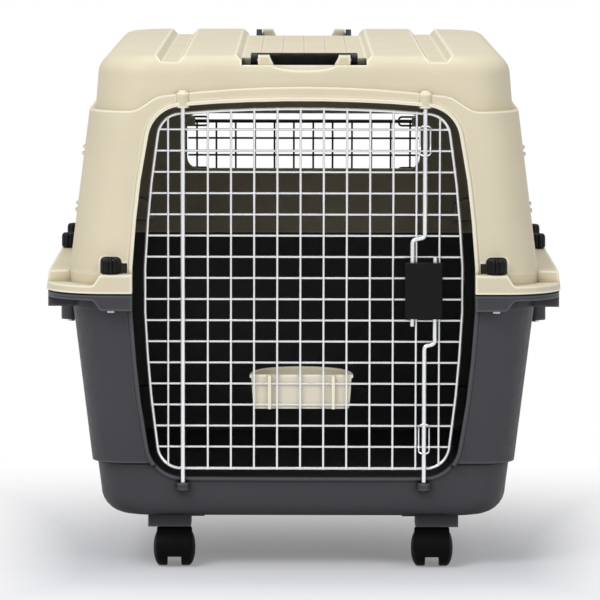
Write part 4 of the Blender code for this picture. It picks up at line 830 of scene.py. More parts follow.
def base_wall_inset(ledge, slope, z):
    """Inset of the base's outer wall, with the step near its foot."""
    step = BASE_STEP if z < BASE_STEP_Z else 0.0
    return ledge + BASE_RIM_INSET + slope * (RIM_Z - z) + step


def front_wall_inset(z):
    """Inset of the front wall at a height, on whichever shell is there."""
    if z >= SEAM_Z:
        return top_wall_inset(END_LEDGE, max(z, LEDGE_Z))
    return base_wall_inset(END_LEDGE, BASE_END_SLOPE, min(z, RIM_Z))


def fascia_outline():
    """Front view of the wide lower part of the top shell, up to its shoulder."""
    half = []
    sweep_steps = 5
    for step in range(sweep_steps + 1):
        share = step / sweep_steps
        smooth = share * share * (3 - 2 * share)
        x = FASCIA_HALF + FASCIA_SWEEP * (1 - share)
        half.append((x, SHOULDER_Z + (FASCIA_FOOT_Z - SHOULDER_Z) * smooth))
    arch_steps = 4
    for step in range(1, arch_steps + 1):
        x = FASCIA_HALF * (1 - step / arch_steps)
        half.append((x, FASCIA_TOP_Z - (FASCIA_TOP_Z - FASCIA_FOOT_Z) * (x / FASCIA_HALF) ** 2))
    mirror = [(-x, z) for x, z in reversed(half[:-1])]
    low_z = SEAM_Z - CUT
    return ([(-HALF_X - CUT, low_z), (HALF_X + CUT, low_z), (HALF_X + CUT, SHOULDER_Z)]
            + half + mirror + [(-HALF_X - CUT, SHOULDER_Z)])


def top_outer_body():
    """Solid outside of the top shell."""
    head_z = FASCIA_TOP_Z + CUT
    lower = shell_body([
        (0, 0, FLANGE_CORNER, SEAM_Z + CLEARANCE / 2),
        (FLANGE_LEAN, 0, FLANGE_CORNER, LEDGE_Z - FLANGE_CHAMFER),
        (FLANGE_LEAN + FLANGE_CHAMFER, FLANGE_CHAMFER, FLANGE_CORNER, LEDGE_Z - FLANGE_CHAMFER / 4),
        (SIDE_LEDGE, END_LEDGE, WALL_CORNER, LEDGE_Z),
        (top_wall_inset(SIDE_LEDGE, head_z), top_wall_inset(END_LEDGE, head_z), WALL_CORNER, head_z),
    ])
    intersect(lower, prism(fascia_outline(), "XZ", -HALF_Y - CUT, HALF_Y + CUT))
    foot = (*upper_insets(-UPPER_SLOPE * CUT), WALL_CORNER, SHOULDER_Z - CUT)
    return join(lower, shell_body([foot] + roof_levels(0)))


def top_cavity():
    """Inside of the top shell, one wall thickness in."""
    neck_z = SHOULDER_Z - WALL - SHOULDER_STEP
    corner = WALL_CORNER - WALL
    ledge = (SIDE_LEDGE + WALL, END_LEDGE + WALL, corner)
    neck = [top_wall_inset(inset, neck_z) + WALL for inset in (SIDE_LEDGE, END_LEDGE)]
    levels = [(*ledge, SEAM_Z - CUT), (*ledge, LEDGE_Z), (*neck, corner, neck_z),
              (*upper_insets(WALL), corner, SHOULDER_Z - WALL)]
    return shell_body(levels + roof_levels(WALL))


def flared_block(centre_x, floor_z, floor_half, flare):
    """Block along the crate that widens from a floor up to above the roof."""
    head_z = ROOF_Z + CUT
    head_half = floor_half + flare * (head_z - floor_z)
    outline = [(centre_x - floor_half, floor_z), (centre_x + floor_half, floor_z),
               (centre_x + head_half, head_z), (centre_x - head_half, head_z)]
    return prism(outline, "XZ", -HALF_Y - CUT, HALF_Y + CUT)


def groove_block(centre_x, wall):
    """A roof groove along the crate, or the wall round it."""
    flare = (GROOVE_TOP_HALF - GROOVE_FLOOR_HALF) / GROOVE_DEPTH
    return flared_block(centre_x, ROOF_Z - GROOVE_DEPTH - wall, GROOVE_FLOOR_HALF + wall, flare)


def trough_block(wall):
    """The shallow trough between the two handle wells, or the wall round it."""
    return flared_block(0, TROUGH_Z - wall, NOTCH_HALF + wall, TROUGH_SLOPE / (ROOF_Z - TROUGH_Z))


def well_block(end, wall):
    """One handle well, at the front (-1) or rear (+1), or the wall round it."""
    half = NOTCH_HALF + wall
    return box((-half, end * (HALF_Y - WELL_START + wall), WELL_FLOOR_Z - wall),
               (half, end * (HALF_Y - WELL_END - wall), ROOF_Z + CUT))


def notch_block(end):
    """The notch that opens a handle well through the end wall."""
    return box((-NOTCH_HALF, end * (HALF_Y + CUT), NOTCH_SILL_Z),
               (NOTCH_HALF, end * (HALF_Y - WELL_START - WALL), ROOF_Z + CUT))


def knob_places():
    """Name and plan position of each clamp knob."""
    places = []
    for side, sign in (("left", -1), ("right", 1)):
        for end, end_sign in (("front", -1), ("rear", 1)):
            places.append((f"{end}_{side}", sign * END_KNOB_X, end_sign * (HALF_Y - END_KNOB_INSET)))
        for end, end_sign in (("front", -1), ("rear", 1)):
            places.append((f"{side}_{end}", sign * (HALF_X - SIDE_KNOB_INSET), end_sign * SIDE_KNOB_Y))
    return places


def is_end_place(name):
    return name.startswith(("front", "rear"))


def pocket_block(x, y, wall):
    """Pocket in an end wall for a knob, with a lower recess toward the middle, or the wall round both."""
    side = math.copysign(1, x)
    outward = math.copysign(1, y)
    middle = abs(x)
    half = KNOB_RADIUS + POCKET_MARGIN + wall
    top_z = POCKET_TOP_Z + wall
    low_z = KNOB_BASE_Z - CLEARANCE - wall
    recess_z = KNOB_BASE_Z + RECESS_HEIGHT + wall
    corner = POCKET_CORNER + wall
    outline = [(middle - RECESS_REACH - wall, low_z), (middle + half, low_z)]
    outline += arc(middle + half - corner, top_z - corner, corner, 0, 90, 8)
    outline += arc(middle - half + corner, top_z - corner, corner, 90, 180, 8)
    outline += [(middle - half, recess_z), (middle - RECESS_REACH - wall, recess_z)]
    return prism([(side * a, b) for a, b in outline], "XZ", outward * (HALF_Y + CUT), y - outward * half)


def saddle_block(side, end, edge_z, level_z, skin=0):
    """Room beside an end knob, where the flange drops from its full depth to a thinner band."""
    away = math.copysign(1, edge_z - level_z)
    start = SADDLE_START - skin
    outline = []
    for step in range(RAMP_STEPS + 1):
        share = step / RAMP_STEPS
        fall = (1 - math.cos(math.pi * share)) / 2
        outline.append((start + SADDLE_RAMP * share, edge_z + (level_z - edge_z) * fall - away * skin))
    outline += [(HALF_X + CUT, level_z - away * skin), (HALF_X + CUT, edge_z + away * CUT),
                (start, edge_z + away * CUT)]
    return prism([(side * x, z) for x, z in outline], "XZ",
                 end * (HALF_Y + CUT), end * (HALF_Y - SADDLE_BACK - skin))


def saddles(edge_z, level_z, wall_inset=0, skin=0):
    """The four saddles of one flange; without a skin they stop at the wall behind."""
    blocks = merged([saddle_block(side, end, edge_z, level_z, skin) for side in (-1, 1) for end in (-1, 1)])
    if skin:
        return blocks
    side, end = [ledge + wall_inset - CLEARANCE for ledge in (SIDE_LEDGE, END_LEDGE)]
    low_z, high_z = sorted((edge_z, level_z))
    return cut(blocks, shell_column(side, end, WALL_CORNER, low_z - 2 * CUT, high_z + 2 * CUT))


def flange_channel(low_z, high_z, rim_inset=0, lean=0):
    """Hollow under a flange, which leaves the stretches round the end knobs solid."""
    inset = RIM_SKIN + rim_inset
    outer = shell_column(inset, inset, FLANGE_CORNER - inset, low_z, high_z, lean)
    cut(outer, shell_column(SIDE_LEDGE - RIM_SKIN, END_LEDGE - RIM_SKIN, WALL_CORNER + RIM_SKIN,
                            low_z - CUT, high_z + CUT))
    reach = END_KNOB_X + KNOB_BLOCK_HALF
    cut(outer, box((-reach, -HALF_Y - CUT, low_z - CUT), (reach, 0, high_z + CUT)))
    return cut(outer, both_sides(lambda side: box(
        (side * END_KNOB_X - KNOB_BLOCK_HALF, 0, low_z - CUT),
        (side * END_KNOB_X + KNOB_BLOCK_HALF, HALF_Y + CUT, high_z + CUT))))


def doorway_lip():
    """Rounded band round the doorway that follows the slope of the front wall."""
    outline = opening_shape()
    count = len(outline)
    section = [(-WALL / 4, LIP_RETURN), (-WALL / 4, -LIP_PROUD * 0.7), (0.0, -LIP_PROUD),
               (LIP_WIDTH * 0.6, -LIP_PROUD), (LIP_WIDTH * 0.9, -LIP_PROUD * 0.6), (LIP_WIDTH, WALL / 2)]
    rings = []
    for index, point in enumerate(outline):
        here = Vector(point)
        run = (Vector(outline[(index + 1) % count]) - Vector(outline[index - 1])).normalized()
        face_y = -HALF_Y + front_wall_inset(point[1])
        rings.append([(here.x + run.y * out, face_y + back, here.y - run.x * out) for out, back in section])
    return loft(rings, closed=True)


def half_space(above):
    """A large block above or below the seam."""
    size = CRATE_LENGTH
    gap = CLEARANCE / 2
    if above:
        return box((-size, -size, SEAM_Z + gap), (size, size, SEAM_Z + size))
    return box((-size, -size, SEAM_Z - size), (size, size, SEAM_Z - gap))


def doorway_block():
    return prism(opening_shape(), "XZ", -HALF_Y - CUT, DOOR_Y + CRATE_LENGTH / 8)


def socket_bosses(mouth_z, end_z):
    """The two bosses that take the upper or lower rod ends, with a rounded far end."""
    brow_z = end_z - math.copysign(SOCKET_DOME, end_z - mouth_z)
    return both_sides(lambda side: join(
        upright(side * ROD_X, DOOR_Y, mouth_z, brow_z, SOCKET_RADIUS),
        upright(side * ROD_X, DOOR_Y, brow_z, end_z, SOCKET_RADIUS, 32, SOCKET_RADIUS - SOCKET_DOME)))


def socket_bores(start_z, end_z):
    """Blind bores for the two rod ends."""
    return both_sides(lambda side: upright(side * ROD_X, DOOR_Y, start_z, end_z, SOCKET_BORE, 8))


def bolt_bores(low_z, high_z):
    return merged([upright(x, y, low_z, high_z, BOLT_BORE, 8) for _, x, y in knob_places()])


def side_bosses(low_z, high_z, radius):
    """Bosses under the knobs of the two sides."""
    return merged([upright(x, y, low_z, high_z, radius)
                   for name, x, y in knob_places() if not is_end_place(name)])


def post_outline(side):
    """Front view of a handle post, with its sloping foot."""
    low_z = WELL_FLOOR_Z - WALL / 2
    points = [(POST_FOOT, low_z), (POST_OUTER, low_z), (POST_OUTER, POST_TOP_Z),
              (POST_INNER + POST_EASE, POST_TOP_Z), (POST_INNER, POST_TOP_Z - 3 * POST_EASE),
              (POST_FOOT, NOTCH_SILL_Z)]
    return [(side * x, z) for x, z in points]


def handle_posts(end):
    """The two posts that carry a handle."""
    near = end * (HALF_Y - WELL_START + WALL / 2)
    far = end * (HALF_Y - WELL_START - POST_DEPTH)
    return both_sides(lambda side: prism(post_outline(side), "XZ", near, far))


def pivot_y(end):
    return end * (HALF_Y - PIVOT_INSET)


def pin_bores(end, start_x, end_x, sides):
    """Bores for a handle's two pins."""
    y = pivot_y(end)
    return both_sides(lambda side: crossbar(side * start_x, side * end_x, y, PIVOT_Z, PIN_BORE, sides))


# Windows


def window_places():
    """Name, outward angle, half length, row count and column pitch of each window."""
    return (("right_side", 0, SIDE_WINDOW_HALF, SIDE_GRILLE_ROWS, SIDE_GRILLE_PITCH),
            ("rear", 90, REAR_WINDOW_HALF, REAR_GRILLE_ROWS, REAR_GRILLE_PITCH),
            ("left_side", 180, SIDE_WINDOW_HALF, SIDE_GRILLE_ROWS, SIDE_GRILLE_PITCH))


def window_frame(angle):
    """Matrix from a window's own axes, outward, along and up the wall, to the crate."""
    ledge, half = (END_LEDGE, HALF_Y) if angle == 90 else (SIDE_LEDGE, HALF_X)
    reach = half - top_wall_inset(ledge, WINDOW_Z)
    lean = Matrix.Rotation(-math.atan(DRAFT_SLOPE), 4, "Y")
    return Matrix.Rotation(math.radians(angle), 4, "Z") @ Matrix.Translation((reach, 0, WINDOW_Z)) @ lean


def window_block(angle, half):
    """Room for a window through its wall; the rear one has a higher sill."""
    rise = REAR_SILL_RISE if angle == 90 else 0.0
    outline = rounded_rectangle(half, WINDOW_HALF_HEIGHT - rise / 2, WINDOW_CORNER, 8, (0, rise / 2))
    block = prism(outline, "YZ", -CUT - WALL, CUT)
    return moved_by(block, window_frame(angle))


def clip_places(half):
    """The four clips of a window, as positions along and up the wall."""
    frame_half = half - GRILLE_MARGIN
    rise = WINDOW_HALF_HEIGHT - GRILLE_MARGIN
    return [(side * frame_half, level * rise) for side in (-1, 1) for level in (-1, 1)]


def window_clips(angle, half):
    """Clips at the ends of a window that hold the grille's long frame wires."""
    clips = []
    centre = GRILLE_STAND_OFF
    slot = GRILLE_FRAME_RADIUS + CLEARANCE
    for along, up in clip_places(half):
        side = math.copysign(1, along)
        inner = along + side * CLIP_WIDTH * 0.1
        low, high = sorted((inner, along + side * (GRILLE_MARGIN + CLIP_WIDTH * 0.6)))
        block = box((-WALL * 0.75, low, up - CLIP_HEIGHT / 2),
                    (centre + slot * 2, high, up + CLIP_HEIGHT / 2))
        groove = box((centre - slot, low - CUT, up - slot), (centre + slot * 4, high + CUT, up + slot))
        clips.append(cut(block, groove))
    return moved_by(merged(clips), window_frame(angle))


def grille_hook(outward, end, up, radius):
    """Wire bent back on itself round the end of a grille's frame wire."""
    turn = end - math.copysign(HOOK_REACH, end)
    corners = ((end, HOOK_HALF_GAP), (turn, HOOK_HALF_GAP), (turn, -HOOK_HALF_GAP), (end, -HOOK_HALF_GAP))
    return tube(eased([(outward, along, up + rise) for along, rise in corners], HOOK_BEND, 8), radius, 3)


def grille(half, rows, pitch):
    """Round wires of a window grille in the window's own axes; the frame wires end in bent hooks."""
    frame_half = half - GRILLE_MARGIN
    rise = WINDOW_HALF_HEIGHT - GRILLE_MARGIN
    centre = GRILLE_STAND_OFF
    thin = GRILLE_WIRE_RADIUS
    reach = frame_half + GRILLE_MARGIN * 0.9
    wires = []
    for row in range(rows):
        up = -rise + 2 * rise * row / (rows - 1)
        thick = row in (0, rows - 1)
        size = GRILLE_FRAME_RADIUS if thick else thin
        wires.append(tube([(centre, -reach, up), (centre, reach, up)], size, 3))
        if thick:
            wires += [grille_hook(centre, side * reach, up, thin) for side in (-1, 1)]
    columns = int(2 * frame_half / pitch)
    first = -columns * pitch / 2
    front = centre + 2 * thin - WELD_DEPTH
    for column in range(columns + 1):
        along = first + pitch * column
        wires.append(tube([(front, along, -rise - thin), (front, along, rise + thin)], thin, 3))
    return merged(wires)


def build_grilles():
    for name, angle, half, rows, pitch in window_places():
        piece = moved_by(grille(half, rows, pitch), window_frame(angle))
        show(piece, f"{name}_vent_wires", "crate", SHADED_VENT_WIRE, f"{name}_grille", angle=40)


def finger_scoop():
    """Shallow crescent under the front notch."""
    bm = bmesh.new()
    bmesh.ops.create_uvsphere(bm, u_segments=48, v_segments=24, radius=1.0)
    bmesh.ops.scale(bm, vec=(SCOOP_HALF, SCOOP_DEPTH, SCOOP_RISE), verts=bm.verts)
    eaves = ROOF_Z - ROOF_FILLET
    _, wall_inset = upper_insets(UPPER_SLOPE * (eaves - SHOULDER_Z))
    curve_inset = ROOF_FILLET - math.sqrt(ROOF_FILLET ** 2 - (NOTCH_SILL_Z - eaves) ** 2)
    bmesh.ops.translate(bm, vec=(0, wall_inset + curve_inset - HALF_Y, NOTCH_SILL_Z), verts=bm.verts)
    return object_from(bm)


def build_top_shell():
    """Cream upper moulding: walls, shoulder, roof, handle wells, windows and door lip."""
    shell = top_outer_body()
    cavity = top_cavity()
    for side in (-1, 1):
        cut(shell, groove_block(side * GROOVE_X, 0))
        cut(cavity, groove_block(side * GROOVE_X, WALL))
    cut(shell, trough_block(0))
    cut(cavity, trough_block(WALL))
    for end in (-1, 1):
        cut(shell, well_block(end, 0))
        cut(cavity, well_block(end, WALL))
        cut(shell, notch_block(end))
    for name, x, y in knob_places():
        if is_end_place(name):
            cut(shell, pocket_block(x, y, 0))
            cut(cavity, pocket_block(x, y, WALL))
    cut(shell, cavity)
    channel = flange_channel(SEAM_Z - CUT, LEDGE_Z - RIM_SKIN, 0, FLANGE_LEAN)
    cut(channel, saddles(LEDGE_Z, SADDLE_TOP_Z, 0, RIM_SKIN))
    cut(shell, channel)
    cut(shell, saddles(LEDGE_Z, SADDLE_TOP_Z))
    cut(shell, finger_scoop())
    join(shell, intersect(doorway_lip(), half_space(True)))
    cut(shell, doorway_block())
    join(shell, socket_bosses(TOP_SOCKET_LOW_Z, TOP_SOCKET_HIGH_Z))
    cut(shell, socket_bores(TOP_SOCKET_LOW_Z - CLEARANCE, TOP_SOCKET_LOW_Z + SOCKET_DEPTH_TOP))
    for end in (-1, 1):
        join(shell, handle_posts(end))
        cut(shell, pin_bores(end, POST_FOOT - CUT, POST_OUTER + CUT, 8))
    join(shell, side_bosses(SEAM_Z + CLEARANCE, LEDGE_Z - RIM_SKIN / 2, KNOB_PAD_RADIUS))
    cut(shell, bolt_bores(SEAM_Z - CUT, KNOB_BASE_Z + CUT))
    for _, angle, half, _, _ in window_places():
        cut(shell, window_block(angle, half))
        join(shell, window_clips(angle, half))
    line_y = HALF_Y - WELL_END - WALL
    cut(shell, merged([box((LINE_PITCH * step - LINE_WIDTH / 2, -line_y, TROUGH_Z - LINE_DEPTH),
                           (LINE_PITCH * step + LINE_WIDTH / 2, line_y, ROOF_Z)) for step in range(-2, 3)]))
    show(shell, "upper_shell", "crate", CREAM, "top_shell", angle=32)


def base_levels(wall):
    """Levels of the base, from its floor up; wall moves them in by the wall thickness."""
    foot_z = BASE_BOTTOM_Z + BASE_FILLET

    def at(z, corner=BASE_CORNER):
        return (base_wall_inset(SIDE_LEDGE, BASE_SIDE_SLOPE, z) + wall,
                base_wall_inset(END_LEDGE, BASE_END_SLOPE, z) + wall, corner - wall, z)

    side, end, _, _ = at(foot_z)
    fillet = BASE_FILLET - wall
    levels = []
    for step in range(FILLET_STEPS, -1, -1):
        angle = math.radians(90 * step / FILLET_STEPS)
        turn = 1 - math.cos(angle)
        corner = BASE_CORNER - wall - (BASE_CORNER - BASE_FOOT_CORNER) * turn
        levels.append((side + fillet * turn, end + (BASE_END_FILLET - wall) * turn, corner,
                       foot_z - fillet * math.sin(angle)))
    return levels + [at(BASE_STEP_Z - BASE_STEP / 4), at(BASE_STEP_Z + BASE_STEP / 4), at(RIM_Z, WALL_CORNER)]


def castor_places():
    """Name and stem position of each castor."""
    places = []
    for end, end_sign in (("front", -1), ("rear", 1)):
        for side, side_sign in (("left", -1), ("right", 1)):
            places.append((f"{end}_{side}_castor", side_sign, side_sign * CASTOR_X,
                           end_sign * (HALF_Y - CASTOR_INSET)))
    return places


def castor_block(side, y):
    """Socket block under the base for one castor."""
    return box((side * BLOCK_INNER, y - BLOCK_HALF_Y, BLOCK_LOW_Z),
               (side * BLOCK_OUTER, y + BLOCK_HALF_Y, BASE_BOTTOM_Z + WALL / 2))


def plate_slot(side, y):
    """Room for a castor's retaining plate, from the block's inside to past its inner edge."""
    half_y = PLATE_HALF_Y + CLEARANCE
    return box((side * (BLOCK_OUTER - WALL + CLEARANCE), y - half_y, PLATE_LOW_Z),
               (side * (PLATE_INNER - CLEARANCE), y + half_y, BASE_BOTTOM_Z))


def build_base_shell():
    """Grey lower moulding: floor, walls, rim, bosses and castor sockets."""
    shell = shell_body(base_levels(0))
    seam = SEAM_Z - CLEARANCE / 2
    rim = (RIM_INSET, RIM_INSET, FLANGE_CORNER - RIM_INSET)
    inner = (RIM_INSET + REBATE_DEPTH, RIM_INSET + REBATE_DEPTH, rim[2] - REBATE_DEPTH)
    rebate_z = seam - REBATE_HEIGHT
    join(shell, shell_body([(*rim, RIM_Z), (*rim, rebate_z), (*inner, rebate_z), (*inner, seam)]))
    head = (SIDE_LEDGE + WALL, END_LEDGE + WALL, WALL_CORNER - WALL)
    cut(shell, shell_body(base_levels(WALL) + [(*head, SEAM_Z), (*head, SEAM_Z + CUT)]))
    channel = flange_channel(RIM_Z - CUT, SEAM_Z - RIM_SKIN, RIM_INSET)
    cut(channel, saddles(RIM_Z, SEAM_Z, 0, RIM_SKIN))
    cut(shell, channel)
    cut(shell, saddles(RIM_Z, SADDLE_LOW_Z, BASE_RIM_INSET))
    join(shell, intersect(doorway_lip(), half_space(False)))
    cut(shell, doorway_block())
    join(shell, socket_bosses(BASE_SOCKET_HIGH_Z, BASE_SOCKET_LOW_Z))
    cut(shell, socket_bores(OPENING_BOTTOM_Z + CLEARANCE, BASE_SOCKET_HIGH_Z - SOCKET_DEPTH_BASE))
    join(shell, side_bosses(SIDE_BOSS_LOW_Z, seam - CLEARANCE, SIDE_BOSS_RADIUS))
    cut(shell, bolt_bores(SIDE_BOSS_LOW_Z - CUT, SEAM_Z + CUT))
    for _, side, x, y in castor_places():
        join(shell, castor_block(side, y))
        cut(shell, plate_slot(side, y))
        cut(shell, upright(x, y, BLOCK_LOW_Z - CUT, BASE_BOTTOM_Z - PLATE_THICKNESS, STEM_BORE, 24))
    show(shell, "lower_shell", "crate", GREY, "base_shell", angle=32)


# Door


def crossings(outline, fixed, axis):
    """Where a straight line at a fixed X (axis 0) or Z (axis 1) crosses an outline."""
    found = []
    for first, last in zip(outline, outline[1:] + outline[:1]):
        if (first[axis] - fixed) * (last[axis] - fixed) < 0:
            share = (fixed - first[axis]) / (last[axis] - first[axis])
            found.append(first[1 - axis] + share * (last[1 - axis] - first[1 - axis]))
    return min(found), max(found)


def grid_planes():
    """Centre Y of the upright wires, the frame wire and the cross wires, behind the rods."""
    uprights = DOOR_Y + ROD_RADIUS + CLEARANCE + WIRE_RADIUS
    cross = uprights + 2 * WIRE_RADIUS - WELD_DEPTH
    return uprights, (uprights + cross) / 2, cross


def rod_collar(x, z):
    return upright(x, DOOR_Y, z - COLLAR_HEIGHT / 2, z + COLLAR_HEIGHT / 2, COLLAR_RADIUS, 10)


def collar_z(direction):
    return LATCH_RIB_Z + direction * COLLAR_OFFSET


def rod_slots(low_z, high_z, radius):
    """Slots that let both rods pass through a wall of the latch case from behind."""
    return merged([box((x - radius, DOOR_Y - radius, low_z), (x + radius, DOOR_Y + CUT, high_z))
                   for x in (UPPER_GRIP_X, LOWER_GRIP_X)])


def build_door_grid():
    """Welded grid of round wires: bent frame wire, cross wires, uprights and their weld blobs."""
    upright_y, frame_y, cross_y = grid_planes()
    outline = frame_shape()
    wires = [tube([(x, frame_y, z) for x, z in outline], FRAME_RADIUS, 3, cyclic=True)]
    columns = [EDGE_WIRE_X] + [GRID_FIRST_X + GRID_PITCH_X * column for column in range(GRID_COLUMNS)]
    heights = [GRID_FIRST_Z + GRID_PITCH_Z * row for row in range(GRID_ROWS)]
    spans = {z: crossings(outline, z, 1) for z in heights}

    def wire_with_welds(ends, stretch):
        """A wire that runs a little past the frame, with a weld blob at each crossing."""
        first, last = [Vector(end) for end in ends]
        wires.append(tube([first - stretch, last + stretch], WIRE_RADIUS, 2))
        for x, _, z in ends:
            wires.append(bead((x, frame_y, z), WELD_BLOB, 0.8))

    for z, (low, high) in spans.items():
        wire_with_welds(((low, cross_y, z), (high, cross_y, z)), Vector((WIRE_OVERSHOOT, 0, 0)))
    for x in columns:
        low, high = crossings(outline, x, 0)
        wire_with_welds(((x, upright_y, low), (x, upright_y, high)), Vector((0, 0, WIRE_OVERSHOOT)))
        for z, (left, right) in spans.items():
            if low < z < high and left < x < right:
                wires.append(bead((x, (upright_y + cross_y) / 2, z), WIRE_RADIUS * 1.15, 1.25))
    show(merged(wires), "door_wires", "door", ZINC, "door_grid", angle=60)


def build_hinge_rod():
    low_z = BASE_SOCKET_HIGH_Z - SOCKET_DEPTH_BASE + TIP_CLEARANCE
    high_z = TOP_SOCKET_LOW_Z + SOCKET_DEPTH_TOP - TIP_CLEARANCE
    rod = tube([(-ROD_X, DOOR_Y, low_z), (-ROD_X, DOOR_Y, high_z)], ROD_RADIUS, 4)
    show(rod, "hinge_wire", "door", ZINC, "hinge_rod", angle=60)


def eased(path, radius, steps):
    """Round the inner corners of an open path."""
    points = [Vector(path[0])]
    for back, here, ahead in zip(path, path[1:], path[2:]):
        here = Vector(here)
        start = here + (Vector(back) - here).normalized() * radius
        end = here + (Vector(ahead) - here).normalized() * radius
        for step in range(steps + 1):
            share = step / steps
            points.append(start * (1 - share) ** 2 + here * 2 * share * (1 - share) + end * share ** 2)
    return points + [Vector(path[-1])]


def build_latch_rods():
    """Two cranked rods that slide apart into the sockets."""
    upper = [(ROD_X, TOP_SOCKET_LOW_Z - TIP_CLEARANCE), (ROD_X, UPPER_KINK_Z + KINK_HEIGHT / 2),
             (UPPER_GRIP_X, UPPER_KINK_Z - KINK_HEIGHT / 2), (UPPER_GRIP_X, UPPER_GRIP_END_Z)]
    lower = [(ROD_X, BASE_SOCKET_HIGH_Z + TIP_CLEARANCE), (ROD_X, LOWER_KINK_Z - KINK_HEIGHT / 2),
             (LOWER_GRIP_X, LOWER_KINK_Z + KINK_HEIGHT / 2), (LOWER_GRIP_X, LOWER_GRIP_END_Z)]
    for level, direction, path in (("upper", 1, upper), ("lower", -1, lower)):
        grip_x = path[-1][0]
        rod = tube(eased([(x, DOOR_Y, z) for x, z in path], KINK_EASE, 8), ROD_RADIUS, 4)
        rod = merged([rod, rod_collar(grip_x, collar_z(direction))])
        show(rod, f"{level}_bolt_rod", f"{level}_latch", ZINC, f"{level}_latch_rod", angle=50)


def build_latch_case():
    """Black cover over the rods, and a rib between its two springs."""
    (low_x, low_z), (high_x, high_z) = LATCH_LOW, LATCH_HIGH
    back_y = DOOR_Y + ROD_RADIUS
    front_y = back_y - LATCH_DEPTH
    wall = LATCH_WALL
    half = wall / 2

    def ring(inset, corner, y):
        outline = rounded_rectangle((high_x - low_x) / 2 - inset, (high_z - low_z) / 2 - inset, corner, 6,
                                    ((low_x + high_x) / 2, (low_z + high_z) / 2))
        return [(x, y, z) for x, z in outline]

    case = loft([ring(0, LATCH_CORNER, back_y), ring(0, LATCH_CORNER, front_y + half),
                 ring(half, LATCH_FACE_CORNER, front_y)])
    cut(case, box((low_x + wall, front_y + wall, low_z + wall), (high_x - wall, back_y + CUT, high_z - wall)))
    join(case, box((low_x + half, front_y + half, LATCH_RIB_Z - half),
                   (high_x - half, back_y, LATCH_RIB_Z + half)))
    cut(case, rod_slots(low_z - CUT, high_z + CUT, ROD_RADIUS + CLEARANCE))
    show(case, "latch_cover", "door", BLACK, "latch_case", angle=30)


def build_latch_springs():
    """Coil springs round the rods, from the case's rib to each rod's collar."""
    turn_points = 24
    for level, direction, x in (("upper", 1, UPPER_GRIP_X), ("lower", -1, LOWER_GRIP_X)):
        start = LATCH_RIB_Z + direction * (LATCH_WALL / 2 + CLEARANCE + SPRING_WIRE)
        end = collar_z(direction) - direction * (COLLAR_HEIGHT / 2 + CLEARANCE + SPRING_WIRE)
        steps = SPRING_TURNS * turn_points
        path = []
        for step in range(steps + 1):
            angle = 2 * math.pi * step / turn_points
            path.append((x + SPRING_RADIUS * math.cos(angle), DOOR_Y + SPRING_RADIUS * math.sin(angle),
                         start + (end - start) * step / steps))
        show(tube(path, SPRING_WIRE, 2), f"{level}_coil", "door", STEEL,
             f"{level}_latch_spring", angle=60)


def build_rod_guides():
    """Bent wire guides welded on the grid that keep the rods on the door."""
    _, _, cross_y = grid_planes()
    back_y = cross_y - WIRE_RADIUS - CLEARANCE - GUIDE_WIRE
    front_y = DOOR_Y - ROD_RADIUS - CLEARANCE - GUIDE_WIRE
    for level, z in (("upper", UPPER_GUIDE_Z), ("lower", LOWER_GUIDE_Z)):
        path = []
        for side, rise in ((-1, -1), (1, -1), (1, 1), (-1, 1)):
            x = ROD_X + side * GUIDE_HALF
            edge_z = z + rise * GUIDE_HEIGHT / 2
            corner = [(x, back_y, edge_z - rise * GUIDE_HEIGHT / 5), (x, front_y, edge_z)]
            path += corner if side * rise > 0 else corner[::-1]
        path = smooth_outline(path, 2)
        show(tube(path, GUIDE_WIRE, 3, cyclic=True), f"{level}_guide_loop", "door", ZINC,
             f"{level}_rod_guide", angle=60)


# Feed bowl


def bowl_outline(half, depth, z, front_y):
    """Flat-fronted bowl in plan: a straight front and a curved back."""
    steps = 36
    points = []
    for step in range(steps + 1):
        angle = math.pi * step / steps
        points.append((BOWL_X + half * math.cos(angle), front_y + depth * math.sin(angle) ** 0.75, z))
    return points


